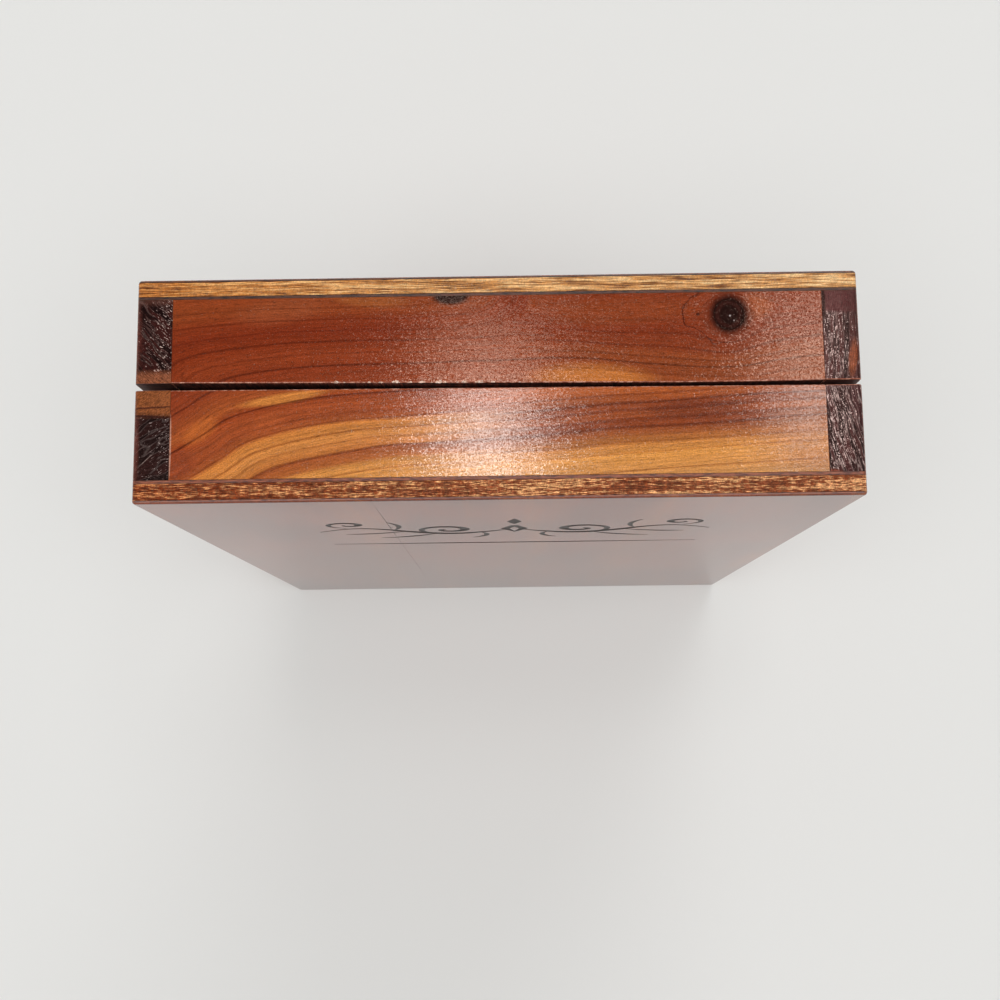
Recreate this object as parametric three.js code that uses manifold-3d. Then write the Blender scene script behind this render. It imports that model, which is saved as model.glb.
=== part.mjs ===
// Cedar bible box. Two shallow cedar trays, sawn from one glued-up box, close like a
// book: a base at the back and a lid at the front, on two small butt hinges along the
// spine, with a swing hook on the fore edge. The box stands on its foot end.
//
// Millimetres. X runs from the spine to the fore edge, Y from the lid's face to the
// base's back, and Z from the foot to the head. The origin is the middle of the foot
// end, on the surface that the box stands on.

import * as THREE from 'three';
import { mergeVertices } from 'three/addons/utils/BufferGeometryUtils.js';
import Module from 'manifold-3d';

const wasm = await Module();
wasm.setup();

// Closed box
const boxWidth = 190;
const boxHeight = 270;
const boxDepth = 60;
const faceRound = 0.8; // eased edge all round both outer faces
const cornerExtraRound = 0.4; // what the edges that run front to back have more than that

// Cedar frames. The saw cut between them ran a little off parallel.
const boardThickness = 9.5;
const lidFrameAtSpine = 23.8;
const lidFrameAtFore = 23;
const gapAtFore = 1.25;
const rimCrown = 0.52; // how far the base's short rims bow towards the lid
const rimCrownShare = 0.75; // where the bow's curve is drawn to, along the board
const glueLine = 0.1;

// Three-ply panels, each with its cedar face outside
const lidFacePly = 0.9;
const lidCorePly = 4.4;
const lidInnerPly = 0.9;
const baseFacePly = 0.8;
const baseCorePly = 3.95;
const baseInnerPly = 0.8;
const seamFromSpine = 62; // the joint between the two pieces of the lid's face ply

// Butt hinges, screwed to the rims with no recess, so that they hold the trays apart
const hingeLength = 25;
const hingeFromEnd = 42;
const leafThickness = 0.8;
const leafWidth = 9; // from the pin's axis to the leaf's free edge
const leafPlay = 0.3; // between the closed leaves
const pinRadius = 0.8;
const pinClearance = 0.06;
const pinHeadRadius = 1.2;
const pinHeadHeight = 0.5;
const knuckleGap = 0.3;
const barrelStandoff = 0.3; // between the barrel and the spine's face

// Slotted countersunk hinge screws
const screwRadius = 0.9;
const screwLength = 8;
const screwTip = 2;
const screwSpacing = 14;
const screwClearance = 0.1;
const slotWidth = 0.45;
const slotDepth = 0.35;
const slotTurns = [20, 75, 130, 165]; // degrees, where each screw's slot came to rest

// Swing hook and its catch, each on a small plate held by two round-headed nails
const plateWidth = 8;
const plateThickness = 0.6;
const plateReach = 10.4; // from the stud up to the centre of the plate's far round end
const studFromSplit = 9;
const studNeckRadius = 0.9;
const studHeadRadius = 2;
const rivetHeadHeight = 1.3;
const knobHeadHeight = 1.8;
const studClearance = 0.1;
const hookThickness = 0.8;
const hookEyeRadius = 3;
const hookNoseRadius = 3.4;
const hookArmWidth = 3.4;
const hookSlotPlay = 0.4; // on each side of the knob's neck
const hookTabRadius = 1.5;
const slideGap = 0.2; // between the hook and what it slides over or under
const nearNailReach = 5.4; // from the stud to the nearer nail
const nailRadius = 0.5;
const nailLength = 7;
const nailTip = 0.5;
const nailHeadRadius = 1.1;
const nailHeadHeight = 0.5;
const nailClearance = 0.1;
const headRimShare = 0.2; // how much of a domed head's height is its straight rim

// Facets
const roundSteps = 24;
const nailSteps = 12;
const easeSteps = 3;
const cutOverrun = 1;
const weldReach = 1e-4;

// Places that follow from the sizes
const spineX = -boxWidth / 2;
const foreX = boxWidth / 2;
const shortBoardFromX = spineX + boardThickness + glueLine;
const shortBoardToX = foreX - boardThickness - glueLine;
const lidFaceY = -boxDepth / 2;
const lidCoreY = lidFaceY + lidFacePly;
const lidInnerY = lidCoreY + lidCorePly;
const lidFrameY = lidInnerY + lidInnerPly;
const baseBackY = boxDepth / 2;
const baseCoreY = baseBackY - baseFacePly;
const baseInnerY = baseCoreY - baseCorePly;
const baseFrameY = baseInnerY - baseInnerPly;
const lidRimSpineY = lidFrameY + lidFrameAtSpine;
const lidRimForeY = lidFrameY + lidFrameAtFore;
const baseRimSpineY = lidRimSpineY + 2 * leafThickness + leafPlay;
const baseRimForeY = lidRimForeY + gapAtFore;
const barrelRadius = pinRadius + pinClearance + leafThickness;
const hingeX = spineX - barrelStandoff - barrelRadius;
const hingeY = (lidRimSpineY + baseRimSpineY) / 2;
const hingeHeights = [hingeFromEnd, boxHeight - hingeFromEnd - hingeLength];
const splitForeY = (lidRimForeY + baseRimForeY) / 2;
const rivetY = splitForeY - studFromSplit;
const knobY = splitForeY + studFromSplit;
const latchZ = boxHeight / 2;

const cedar = new THREE.MeshStandardMaterial({ color: 0x8f4a2b, roughness: 0.35 });
const veneer = new THREE.MeshStandardMaterial({ color: 0x7e3d24, roughness: 0.25 });
const coreWood = new THREE.MeshStandardMaterial({ color: 0xc99450, roughness: 0.5 });
const brass = new THREE.MeshStandardMaterial({ color: 0xb8924a, roughness: 0.3, metalness: 1 });

const alongX = new THREE.Vector3(1, 0, 0);
const towardsBack = new THREE.Vector3(0, 1, 0);
const towardsFront = new THREE.Vector3(0, -1, 0);
const alongZ = new THREE.Vector3(0, 0, 1);

// Solids: three.js makes every shape. It becomes a solid to be joined or cut, and the
// result goes back to a mesh.

function solidOf(geometry) {
  const bare = new THREE.BufferGeometry();
  const loose = geometry.index ? geometry.toNonIndexed() : geometry;
  bare.setAttribute('position', loose.getAttribute('position'));
  const merged = mergeVertices(bare, weldReach);
  return new wasm.Manifold(
    new wasm.Mesh({
      numProp: 3,
      vertProperties: merged.attributes.position.array,
      triVerts: new Uint32Array(merged.index.array),
    }),
  );
}

function named(name, solid, material) {
  const { vertProperties, triVerts } = solid.getMesh();
  const geometry = new THREE.BufferGeometry();
  geometry.setAttribute('position', new THREE.BufferAttribute(vertProperties, 3));
  geometry.setIndex(new THREE.BufferAttribute(triVerts, 1));
  const mesh = new THREE.Mesh(geometry, material);
  mesh.name = name;
  return mesh;
}

function joined(first, ...others) {
  return others.reduce((whole, other) => whole.add(other), first);
}

function cutBy(solid, ...tools) {
  return tools.reduce((left, tool) => left.subtract(tool), solid);
}

// A rectangular piece between two opposite corners.
function block(from, to) {
  const low = new THREE.Vector3(...from);
  const high = new THREE.Vector3(...to);
  const size = high.clone().sub(low);
  const middle = low.add(high).divideScalar(2);
  const geometry = new THREE.BoxGeometry(size.x, size.y, size.z);
  return solidOf(geometry.translate(middle.x, middle.y, middle.z));
}

function extruded(outline, depth) {
  return new THREE.ExtrudeGeometry(outline, {
    depth,
    bevelEnabled: false,
    curveSegments: roundSteps / 2,
  });
}

// An outline in X and Y, carried up Z between two heights.
function upright(outline, fromZ, toZ) {
  return solidOf(extruded(outline, toZ - fromZ).translate(0, 0, fromZ));
}

// An outline in Y and Z, carried out along X.
function outward(outline, fromX, toX) {
  const turn = new THREE.Matrix4().makeBasis(towardsBack, alongZ, alongX);
  return solidOf(extruded(outline, toX - fromX).applyMatrix4(turn).translate(fromX, 0, 0));
}

// A turned piece, its profile given as [radius, distance] pairs along an axis.
function turned(profile, axis, steps = roundSteps) {
  const points = profile.map(([radius, along]) => new THREE.Vector2(radius, along));
  const upToAxis = new THREE.Quaternion().setFromUnitVectors(towardsBack, axis);
  return solidOf(new THREE.LatheGeometry(points, steps).applyQuaternion(upToAxis));
}

// The upper profile of a head that starts at a height, with a short straight rim.
function domedHead(radius, height, from) {
  const rim = height * headRimShare;
  const rise = height - rim;
  const dome = Array.from({ length: easeSteps + 1 }, (_, step) => {
    const angle = (step / (easeSteps + 1)) * (Math.PI / 2);
    return [radius * Math.cos(angle), from + rim + rise * Math.sin(angle)];
  });
  return [[radius, from], ...dome, [0, from + height]];
}

// The whole box's outside, with the eased edges that sanding gave it. Every board and
// ply is trimmed to it.
function easedOutside() {
  const left = spineX + faceRound;
  const right = foreX - faceRound;
  const low = faceRound;
  const high = boxHeight - faceRound;
  const round = cornerExtraRound;
  const outline = new THREE.Shape();
  outline.absarc(right - round, low + round, round, -Math.PI / 2, 0);
  outline.absarc(right - round, high - round, round, 0, Math.PI / 2);
  outline.absarc(left + round, high - round, round, Math.PI / 2, Math.PI);
  outline.absarc(left + round, low + round, round, Math.PI, (3 * Math.PI) / 2);
  outline.closePath();
  const geometry = new THREE.ExtrudeGeometry(outline, {
    depth: boxDepth - 2 * faceRound,
    curveSegments: easeSteps,
    bevelEnabled: true,
    bevelThickness: faceRound,
    bevelSize: faceRound,
    bevelSegments: easeSteps,
  });
  // Stood up, the extrusion runs from the back towards the front.
  return solidOf(geometry.rotateX(Math.PI / 2).translate(0, baseBackY - faceRound, 0));
}

const outside = easedOutside();

// Boards and plies

// A board with the grain up and down. Its end grain shows at both ends of the box.
function longBoard(fromX, fromY, toY, holes) {
  const board = block([fromX, fromY, 0], [fromX + boardThickness, toY, boxHeight]);
  return cutBy(board.intersect(outside), ...holes);
}

// A board that fits between the two long ones. Its rim follows the saw cut and bows by
// crown towards the other tray.
function shortBoard(panelY, rimSpineY, rimForeY, crown, fromZ) {
  const drawnToX = THREE.MathUtils.lerp(shortBoardFromX, shortBoardToX, rimCrownShare);
  const chordY = THREE.MathUtils.lerp(rimSpineY, rimForeY, rimCrownShare);
  const drawnToY = chordY + 2 * crown * Math.sign(rimSpineY - panelY);
  const outline = new THREE.Shape();
  outline.moveTo(shortBoardFromX, panelY);
  outline.lineTo(shortBoardToX, panelY);
  outline.lineTo(shortBoardToX, rimForeY);
  outline.quadraticCurveTo(drawnToX, drawnToY, shortBoardFromX, rimSpineY);
  outline.closePath();
  return upright(outline, fromZ, fromZ + boardThickness).intersect(outside);
}

// One ply of a panel, over the whole height of the box.
function ply(fromX, toX, fromY, toY) {
  return block([fromX, fromY, 0], [toX, toY, boxHeight]).intersect(outside);
}

// Hinges. side is 1 for the leaf on the base and -1 for the leaf on the lid.

const leafOuter = leafThickness + leafPlay / 2;
const leafInner = leafPlay / 2;
const leafFromX = barrelRadius + knuckleGap;
const screwX = (barrelRadius + barrelStandoff + leafWidth) / 2;
const screwHeights = [hingeLength - screwSpacing, hingeLength + screwSpacing].map((z) => z / 2);
const screwHeadRadius = screwRadius + leafThickness;
const knuckleLength = (hingeLength - 2 * knuckleGap) / 3;

// A screw from its head to its tip, grown all round by play.
function screwProfile(play) {
  return [
    [screwHeadRadius + play, 0],
    [screwRadius + play, leafThickness],
    [screwRadius + play, screwLength - screwTip],
    [0, screwLength + play],
  ];
}

function hingeScrew(side, slotTurn) {
  const screw = turned([[0, 0], ...screwProfile(0)], towardsBack);
  const slot = block(
    [-screwHeadRadius - cutOverrun, -cutOverrun, -slotWidth / 2],
    [screwHeadRadius + cutOverrun, slotDepth, slotWidth / 2],
  );
  const slotted = cutBy(screw, slot.rotate([0, slotTurn, 0]));
  return side > 0 ? slotted : slotted.rotate([180, 0, 0]);
}

// The hole for a hinge screw, through a leaf and into the rim under it.
function screwHole(side) {
  const mouth = [[0, -cutOverrun], [screwHeadRadius + screwClearance, -cutOverrun]];
  const axis = side > 0 ? towardsBack : towardsFront;
  return turned([...mouth, ...screwProfile(screwClearance)], axis);
}

function rimHoles(side) {
  const headY = hingeY + side * leafInner;
  return hingeHeights.flatMap((hingeZ) =>
    screwHeights.map((z) => screwHole(side).translate([hingeX + screwX, headY, hingeZ + z])),
  );
}

// A leaf about its own pin, with a knuckle for each of its places in the barrel.
function hingeLeaf(side, knucklePlaces) {
  const lowY = Math.min(side * leafInner, side * leafOuter);
  const highY = lowY + leafThickness;
  const plate = block([leafFromX, lowY, 0], [leafWidth, highY, hingeLength]);
  const knuckles = knucklePlaces.map((place) => {
    const fromZ = place * (knuckleLength + knuckleGap);
    const toZ = fromZ + knuckleLength;
    const barrel = new THREE.Shape().absarc(0, 0, barrelRadius, 0, 2 * Math.PI);
    const wrap = block([0, lowY, fromZ], [leafFromX + leafThickness, highY, toZ]);
    return upright(barrel, fromZ, toZ).add(wrap);
  });
  const boreRadius = pinRadius + pinClearance;
  const bore = turned(
    [
      [0, -cutOverrun],
      [boreRadius, -cutOverrun],
      [boreRadius, hingeLength + cutOverrun],
      [0, hingeLength + cutOverrun],
    ],
    alongZ,
  );
  const holes = screwHeights.map((z) => screwHole(side).translate([screwX, side * leafInner, z]));
  return cutBy(joined(plate, ...knuckles), bore, ...holes);
}

// A pin peened over at both ends.
function hingePin() {
  const low = -pinClearance;
  const high = hingeLength + pinClearance;
  return turned(
    [
      [0, low - pinHeadHeight],
      [pinRadius, low - pinHeadHeight],
      [pinHeadRadius, low - pinHeadHeight / 2],
      [pinHeadRadius, low],
      [pinRadius, low],
      [pinRadius, high],
      [pinHeadRadius, high],
      [pinHeadRadius, high + pinHeadHeight / 2],
      [pinRadius, high + pinHeadHeight],
      [0, high + pinHeadHeight],
    ],
    alongZ,
  );
}

// Latch. Each piece is made about its own stud or nail, which stands out along X from
// the fore edge.

const nailReaches = [nearNailReach, plateReach];
const studHeadFrom = plateThickness + hookThickness + 2 * slideGap;

function latchNail() {
  return turned(
    [
      [0, -nailLength],
      [nailRadius, nailTip - nailLength],
      [nailRadius, plateThickness],
      ...domedHead(nailHeadRadius, nailHeadHeight, plateThickness),
    ],
    alongX,
    nailSteps,
  );
}

function nailHole() {
  const radius = nailRadius + nailClearance;
  return turned(
    [
      [0, -nailLength - nailClearance],
      [radius, nailTip - nailLength - nailClearance],
      [radius, plateThickness + cutOverrun],
      [0, plateThickness + cutOverrun],
    ],
    alongX,
    nailSteps,
  );
}

// The rivet that the hook turns on and the knob that it catches differ in their heads.
function latchStud(headHeight) {
  const head = domedHead(studHeadRadius, headHeight, studHeadFrom);
  return turned([[0, 0], [studNeckRadius, 0], [studNeckRadius, studHeadFrom], ...head], alongX);
}

function studHole() {
  const radius = studNeckRadius + studClearance;
  return turned(
    [
      [0, -studClearance],
      [radius, -studClearance],
      [radius, plateThickness + cutOverrun],
      [0, plateThickness + cutOverrun],
    ],
    alongX,
  );
}

// The holes that a plate's stud and nails need, through it and into the board.
function latchHoles(studY) {
  const nailHoles = nailReaches.map((up) => nailHole().translate([foreX, studY, latchZ + up]));
  return [studHole().translate([foreX, studY, latchZ]), ...nailHoles];
}

// A small plate with round ends, its stud at the lower one.
function latchPlate(studY) {
  const outline = new THREE.Shape();
  outline.absarc(studY, latchZ + plateReach, plateWidth / 2, 0, Math.PI);
  outline.absarc(studY, latchZ, plateWidth / 2, Math.PI, 2 * Math.PI);
  outline.closePath();
  return cutBy(outward(outline, foreX, foreX + plateThickness), ...latchHoles(studY));
}

// The hook hangs straight down from its rivet, with its slot open towards the base.
function latchHook() {
  const noseZ = -2 * studFromSplit;
  const slotHalf = studNeckRadius + hookSlotPlay;
  const eyeAngle = Math.asin(hookArmWidth / 2 / hookEyeRadius);
  const noseAngle = Math.asin(hookArmWidth / 2 / hookNoseRadius);
  const slotAngle = Math.asin(slotHalf / hookNoseRadius);
  const down = (3 * Math.PI) / 2;
  const arm = new THREE.Shape();
  arm.absarc(0, 0, hookEyeRadius, eyeAngle - Math.PI / 2, down - eyeAngle);
  arm.absarc(0, noseZ, hookNoseRadius, Math.PI / 2 + noseAngle, 2 * Math.PI - slotAngle);
  arm.absarc(0, noseZ, slotHalf, down, Math.PI / 2, true);
  arm.absarc(0, noseZ, hookNoseRadius, slotAngle, Math.PI / 2 - noseAngle);
  arm.closePath();
  const tab = new THREE.Shape();
  tab.absarc(0, noseZ - hookNoseRadius, hookTabRadius, 0, 2 * Math.PI);
  const eye = new THREE.Shape();
  eye.absarc(0, 0, studNeckRadius + studClearance, 0, 2 * Math.PI);
  const blade = joined(outward(arm, 0, hookThickness), outward(tab, 0, hookThickness));
  return cutBy(blade, outward(eye, -cutOverrun, hookThickness + cutOverrun));
}

// Assembly. The base stays in the box's frame, and the lid's group stands on the hinges'
// axis, about which it opens.

const box = new THREE.Group();
const base = new THREE.Group();
const lid = new THREE.Group();
lid.position.set(hingeX, hingeY, 0);
box.add(base, lid);

const foreBoardX = foreX - boardThickness;
const headBoardZ = boxHeight - boardThickness;
const seamX = spineX + seamFromSpine;

const baseLongBoards = {
  base_spine_board: longBoard(spineX, baseRimSpineY, baseFrameY, rimHoles(1)),
  base_fore_edge_board: longBoard(foreBoardX, baseRimForeY, baseFrameY, latchHoles(knobY)),
};
const lidLongBoards = {
  lid_spine_board: longBoard(spineX, lidFrameY, lidRimSpineY, rimHoles(-1)),
  lid_fore_edge_board: longBoard(foreBoardX, lidFrameY, lidRimForeY, latchHoles(rivetY)),
};
const baseShortBoards = {
  base_foot_board: shortBoard(baseFrameY, baseRimSpineY, baseRimForeY, rimCrown, 0),
  base_head_board: shortBoard(baseFrameY, baseRimSpineY, baseRimForeY, rimCrown, headBoardZ),
};
const lidShortBoards = {
  lid_foot_board: shortBoard(lidFrameY, lidRimSpineY, lidRimForeY, 0, 0),
  lid_head_board: shortBoard(lidFrameY, lidRimSpineY, lidRimForeY, 0, headBoardZ),
};
const basePlies = {
  base_panel_inner_ply: ply(spineX, foreX, baseFrameY + glueLine, baseInnerY),
  base_panel_face_ply: ply(spineX, foreX, baseCoreY + glueLine, baseBackY),
};
const lidPlies = {
  lid_panel_inner_ply: ply(spineX, foreX, lidInnerY, lidFrameY - glueLine),
  lid_face_ply_spine_side: ply(spineX, seamX, lidFaceY, lidCoreY - glueLine),
  lid_face_ply_fore_side: ply(seamX + glueLine, foreX, lidFaceY, lidCoreY - glueLine),
};
const baseCore = { base_panel_core: ply(spineX, foreX, baseInnerY + glueLine, baseCoreY) };
const lidCore = { lid_panel_core: ply(spineX, foreX, lidCoreY, lidInnerY - glueLine) };

// Hangs pieces that were made in the box's frame on one of the two trays.
function attachAll(tray, pieces, material) {
  for (const [name, solid] of Object.entries(pieces)) {
    tray.attach(named(name, solid, material));
  }
}

for (const [tray, boards] of [
  [base, baseLongBoards],
  [base, baseShortBoards],
  [lid, lidLongBoards],
  [lid, lidShortBoards],
]) {
  attachAll(tray, boards, cedar);
}
attachAll(base, basePlies, veneer);
attachAll(lid, lidPlies, veneer);
attachAll(base, baseCore, coreWood);
attachAll(lid, lidCore, coreWood);

// Stands a piece that was made about its own axis at a place in the box's frame.
function standAt(tray, mesh, x, y, z) {
  mesh.position.set(x, y, z);
  tray.attach(mesh);
}

hingeHeights.forEach((hingeZ, index) => {
  const hinge = ['hinge_foot', 'hinge_head'][index];
  standAt(base, named(`${hinge}_base_leaf`, hingeLeaf(1, [0, 2]), brass), hingeX, hingeY, hingeZ);
  standAt(base, named(`${hinge}_pin`, hingePin(), brass), hingeX, hingeY, hingeZ);
  standAt(lid, named(`${hinge}_lid_leaf`, hingeLeaf(-1, [1]), brass), hingeX, hingeY, hingeZ);
  screwHeights.forEach((z, row) => {
    for (const [tray, side, trayName] of [[base, 1, 'base'], [lid, -1, 'lid']]) {
      const turn = slotTurns[(index + 2 * row + side + slotTurns.length) % slotTurns.length];
      const screw = named(`${hinge}_${trayName}_screw_${row + 1}`, hingeScrew(side, turn), brass);
      standAt(tray, screw, hingeX + screwX, hingeY + side * leafInner, hingeZ + z);
    }
  });
});

for (const [tray, part, studY, stud, headHeight] of [
  [lid, 'latch_hook', rivetY, 'rivet', rivetHeadHeight],
  [base, 'latch_catch', knobY, 'knob', knobHeadHeight],
]) {
  tray.attach(named(`${part}_plate`, latchPlate(studY), brass));
  standAt(tray, named(`${part}_${stud}`, latchStud(headHeight), brass), foreX, studY, latchZ);
  nailReaches.forEach((up, index) => {
    const nail = named(`${part}_nail_${index + 1}`, latchNail(), brass);
    standAt(tray, nail, foreX, studY, latchZ + up);
  });
}

const hook = named('latch_hook', latchHook(), brass);
standAt(lid, hook, foreX + plateThickness + slideGap, rivetY, latchZ);

export default box;
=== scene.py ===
"""Cedar bible box: its finished wood, brass and stage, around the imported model.

Run as a script. The sidebar tab "Cedar Box" in the 3D view lists each step, in the order
in which main() calls them.
"""

import math
import random
from typing import NamedTuple

import bmesh
import bpy
from bpy.props import FloatProperty, FloatVectorProperty
from mathutils import Matrix, Vector


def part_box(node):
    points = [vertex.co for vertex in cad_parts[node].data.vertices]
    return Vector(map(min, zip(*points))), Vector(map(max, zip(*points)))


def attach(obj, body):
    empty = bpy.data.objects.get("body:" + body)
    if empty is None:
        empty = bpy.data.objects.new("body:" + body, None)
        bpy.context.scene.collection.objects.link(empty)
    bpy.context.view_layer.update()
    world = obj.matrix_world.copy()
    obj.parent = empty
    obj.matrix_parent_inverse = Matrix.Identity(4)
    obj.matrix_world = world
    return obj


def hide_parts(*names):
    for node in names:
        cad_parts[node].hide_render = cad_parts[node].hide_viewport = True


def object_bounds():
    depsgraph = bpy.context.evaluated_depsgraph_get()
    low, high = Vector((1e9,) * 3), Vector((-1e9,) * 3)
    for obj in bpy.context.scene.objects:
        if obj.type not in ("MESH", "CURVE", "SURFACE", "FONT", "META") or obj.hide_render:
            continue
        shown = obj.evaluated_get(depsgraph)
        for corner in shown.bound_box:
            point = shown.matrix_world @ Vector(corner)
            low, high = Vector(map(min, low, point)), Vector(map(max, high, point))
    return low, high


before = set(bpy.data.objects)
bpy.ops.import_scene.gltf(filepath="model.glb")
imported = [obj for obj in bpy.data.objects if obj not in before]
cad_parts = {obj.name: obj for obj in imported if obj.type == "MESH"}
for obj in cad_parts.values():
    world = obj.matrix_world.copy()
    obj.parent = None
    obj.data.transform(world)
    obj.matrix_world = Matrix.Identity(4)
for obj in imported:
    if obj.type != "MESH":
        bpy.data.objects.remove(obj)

bl_info = {
    "name": "Cedar Bible Box",
    "version": (1, 0, 0),
    "blender": (4, 5, 0),
    "location": "View3D > Sidebar > Cedar Box",
    "description": "Finishes the wood and brass of a cedar bible box and lights it",
    "category": "Object",
}

MM = 0.001
PER_MM = 1000.0
CAD_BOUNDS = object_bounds()

# Kinds of shader node. A range's inputs are its value, then from where to where, and to where.
# A mix's are its factor and its two colours.
MATH = "ShaderNodeMath"
VECTOR = "ShaderNodeVectorMath"
RANGE = "ShaderNodeMapRange"
MIX = "ShaderNodeMix"
RAMP = "ShaderNodeValToRGB"
BUMP = "ShaderNodeBump"
SURFACE = "ShaderNodeBsdfPrincipled"
JOIN = "ShaderNodeCombineXYZ"
SPLIT = "ShaderNodeSeparateXYZ"
MAPPING = "ShaderNodeMapping"

# Settings that many nodes share
PLUS = {"operation": "ADD"}
MINUS = {"operation": "SUBTRACT"}
TIMES = {"operation": "MULTIPLY"}
TIMES_PLUS = {"operation": "MULTIPLY_ADD"}
LENGTH = {"operation": "LENGTH"}
UNSIGNED = {"operation": "ABSOLUTE"}
LARGER = {"operation": "MAXIMUM"}
SCALED = {"operation": "SCALE"}
SMOOTH = {"interpolation_type": "SMOOTHSTEP"}
COLOURS = {"data_type": "RGBA"}
TINTED = {"data_type": "RGBA", "blend_type": "MULTIPLY"}

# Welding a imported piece, and how far its shading may turn before an edge shows
WELD = 0.002 * MM
FLAT_ANGLE = math.radians(0.6)
CREASE_ANGLE = math.radians(38)
ARRIS_ANGLE = math.radians(50)

# The dried varnish's facets, drawn coarser than the real ones so that they show, and the
# root mean square of their random tilts before scaling
FILM_CELL = 0.3
TAIL_SPREAD = 0.112

LONG_BOARDS = {
    "base": ("base_spine_board", "base_fore_edge_board"),
    "lid": ("lid_spine_board", "lid_fore_edge_board"),
}
SHORT_BOARDS = {
    "base": ("base_head_board", "base_foot_board"),
    "lid": ("lid_head_board", "lid_foot_board"),
}
FACE_PLIES = {
    "base": ("base_panel_face_ply",),
    "lid": ("lid_face_ply_spine_side", "lid_face_ply_fore_side"),
}
FINISHED = "finished_"
MATERIALS = {}

# How near the saw cut a rim's edges are, and the box's own corners its outer edges
RIM_REACH = 3 * MM
NEAR = 0.6 * MM
ALONG_SHARE = 0.9
HALF_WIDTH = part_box("base_panel_core")[1].x

# Steps in a rounded corner and in a bevelled edge
CORNER_STEPS = 3
RIM_STEPS = 2

# How squarely a face has to face an axis to be a side of its piece, or a ply's outer side
FACING = 0.7
PLY_FACING = 0.45

# Chips that the saw tore from the base's head board, along X in millimetres
CHIPPED_BOARD = "base_head_board"
LARGE_CHIPS = (-42.2, -26.4, -19.8, -15.1, -8.6, -4.6)
MIDDLE_CHIPS = (-33.5, -30.4, -22.7, -13.6, -1.2)
SMALL_CHIPS = 9
SMALL_CHIPS_REACH = (-45.0, 10.0)
CHIP_SIZE = 1.45 * MM
CHIP_SEED = 11
# The others' sizes as shares of a large chip's, how uneven they are, and their stretch
MIDDLE_SHARE = 0.7
SMALL_SHARES = (0.25, 0.45)
CHIP_UNEVENNESS = (0.65, 1.35)
CHIP_STRETCH = Vector((1.7, 1.0, 0.6))

# The ornament on the lid's face: its middle as X and Z, and the drop from there to its rule
ORNAMENT_MIDDLE = (4.0, 211.0)
RULE_DROP = -34.4
GROOVE_LIFT = 0.02 * MM
GROOVE_DEPTH_SHARE = 0.3
STROKE_BOLDNESS = 2.0
SCROLL_STEPS = 16


def linear(hex_colour):
    """The linear colour, with alpha, of an sRGB hex value."""
    channels = [int(hex_colour[place:place + 2], 16) / 255 for place in (1, 3, 5)]
    return [c / 12.92 if c <= 0.04045 else ((c + 0.055) / 1.055) ** 2.4 for c in channels] + [1.0]


def colour_setting(name, description, hex_colour):
    """A colour that a user would change."""
    return FloatVectorProperty(
        name=name, description=description, subtype="COLOR", size=4, min=0, max=1,
        default=linear(hex_colour),
    )


def length_setting(name, description, default, least):
    """A length that a user would change, given here in millimetres."""
    return FloatProperty(
        name=name, description=description, unit="LENGTH", precision=5,
        default=default * MM, min=least * MM,
    )


class CedarBoxWood(bpy.types.PropertyGroup):
    """Sizes and colours of the wood."""

    heartwood: colour_setting("Heartwood", "Red-brown of varnished heartwood", "#8a4228")
    dark_heartwood: colour_setting("Dark heartwood", "Darkest bands of the heartwood", "#6d2c19")
    sapwood: colour_setting("Golden wood", "Golden streaks next to the heartwood", "#c97b38")
    bare_wood: colour_setting("Bare wood", "Unvarnished cedar inside the box", "#b87a58")
    ring_spacing: length_setting("Ring spacing", "Distance between growth rings", 2.6, 0.5)
    rim_bevel: length_setting("Rim bevel", "Width taken off the sawn rims' edges", 0.28, 0.05)
    corner_round: length_setting(
        "Corner rounding", "Width worn off the box's own corners", 0.35, 0.05
    )


class CedarBoxBrass(bpy.types.PropertyGroup):
    """Sizes and colours of the brass."""

    polished: colour_setting("Brass", "Clean brass", "#c9a158")
    tarnished: colour_setting("Tarnish", "Brass gone brown", "#7c5a2c")
    edge_bevel: length_setting("Edge bevel", "Width taken off the brass's edges", 0.09, 0.01)


class CedarBoxStage(bpy.types.PropertyGroup):
    """The floor, light and camera."""

    floor: colour_setting("Floor", "Colour of the floor and of the far background", "#e2e2e0")
    ceiling: colour_setting("Ceiling", "Darker light from straight above", "#585858")
    lamp_strength: FloatProperty(
        name="Lamp strength", description="Strength of the three wide lamps", default=0.95, min=0,
    )
    room_share: FloatProperty(
        name="Room light", description="Share of the room's brightness that lights matt surfaces",
        subtype="FACTOR", default=0.5, min=0, max=1,
    )
    focal_length: FloatProperty(
        name="Focal length", description="Camera's focal length", unit="CAMERA",
        default=47.49, min=1,
    )


def add_node(tree, kind, settings=None, links=None):
    """Adds a node with its settings, and gives its inputs a value or a link.

    links names the inputs, or is a row that fills those in use in order.
    """
    node = tree.nodes.new(kind)
    for name, value in (settings or {}).items():
        if name == "stops":
            ramp = node.color_ramp
            ramp.elements.remove(ramp.elements[1])
            for index, (place, colour) in enumerate(value):
                stop = ramp.elements.new(place) if index else ramp.elements[0]
                stop.position = place
                stop.color = colour if len(colour) == 4 else linear(colour)
        elif name == "points":
            curve = node.mapping.curves[0]
            curve.points[0].location = value[0]
            curve.points[1].location = value[-1]
            for point in value[1:-1]:
                curve.points.new(*point)
            node.mapping.update()
        else:
            setattr(node, name, value)
    if isinstance(links, dict):
        pairs = [(node.inputs[name], source) for name, source in links.items()]
    else:
        pairs = zip([socket for socket in node.inputs if socket.enabled], links or ())
    for socket, source in pairs:
        if isinstance(source, bpy.types.Node):
            source = next(output for output in source.outputs if output.enabled)
        if isinstance(source, bpy.types.NodeSocket):
            tree.links.new(source, socket)
        else:
            socket.default_value = source
    return node


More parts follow.
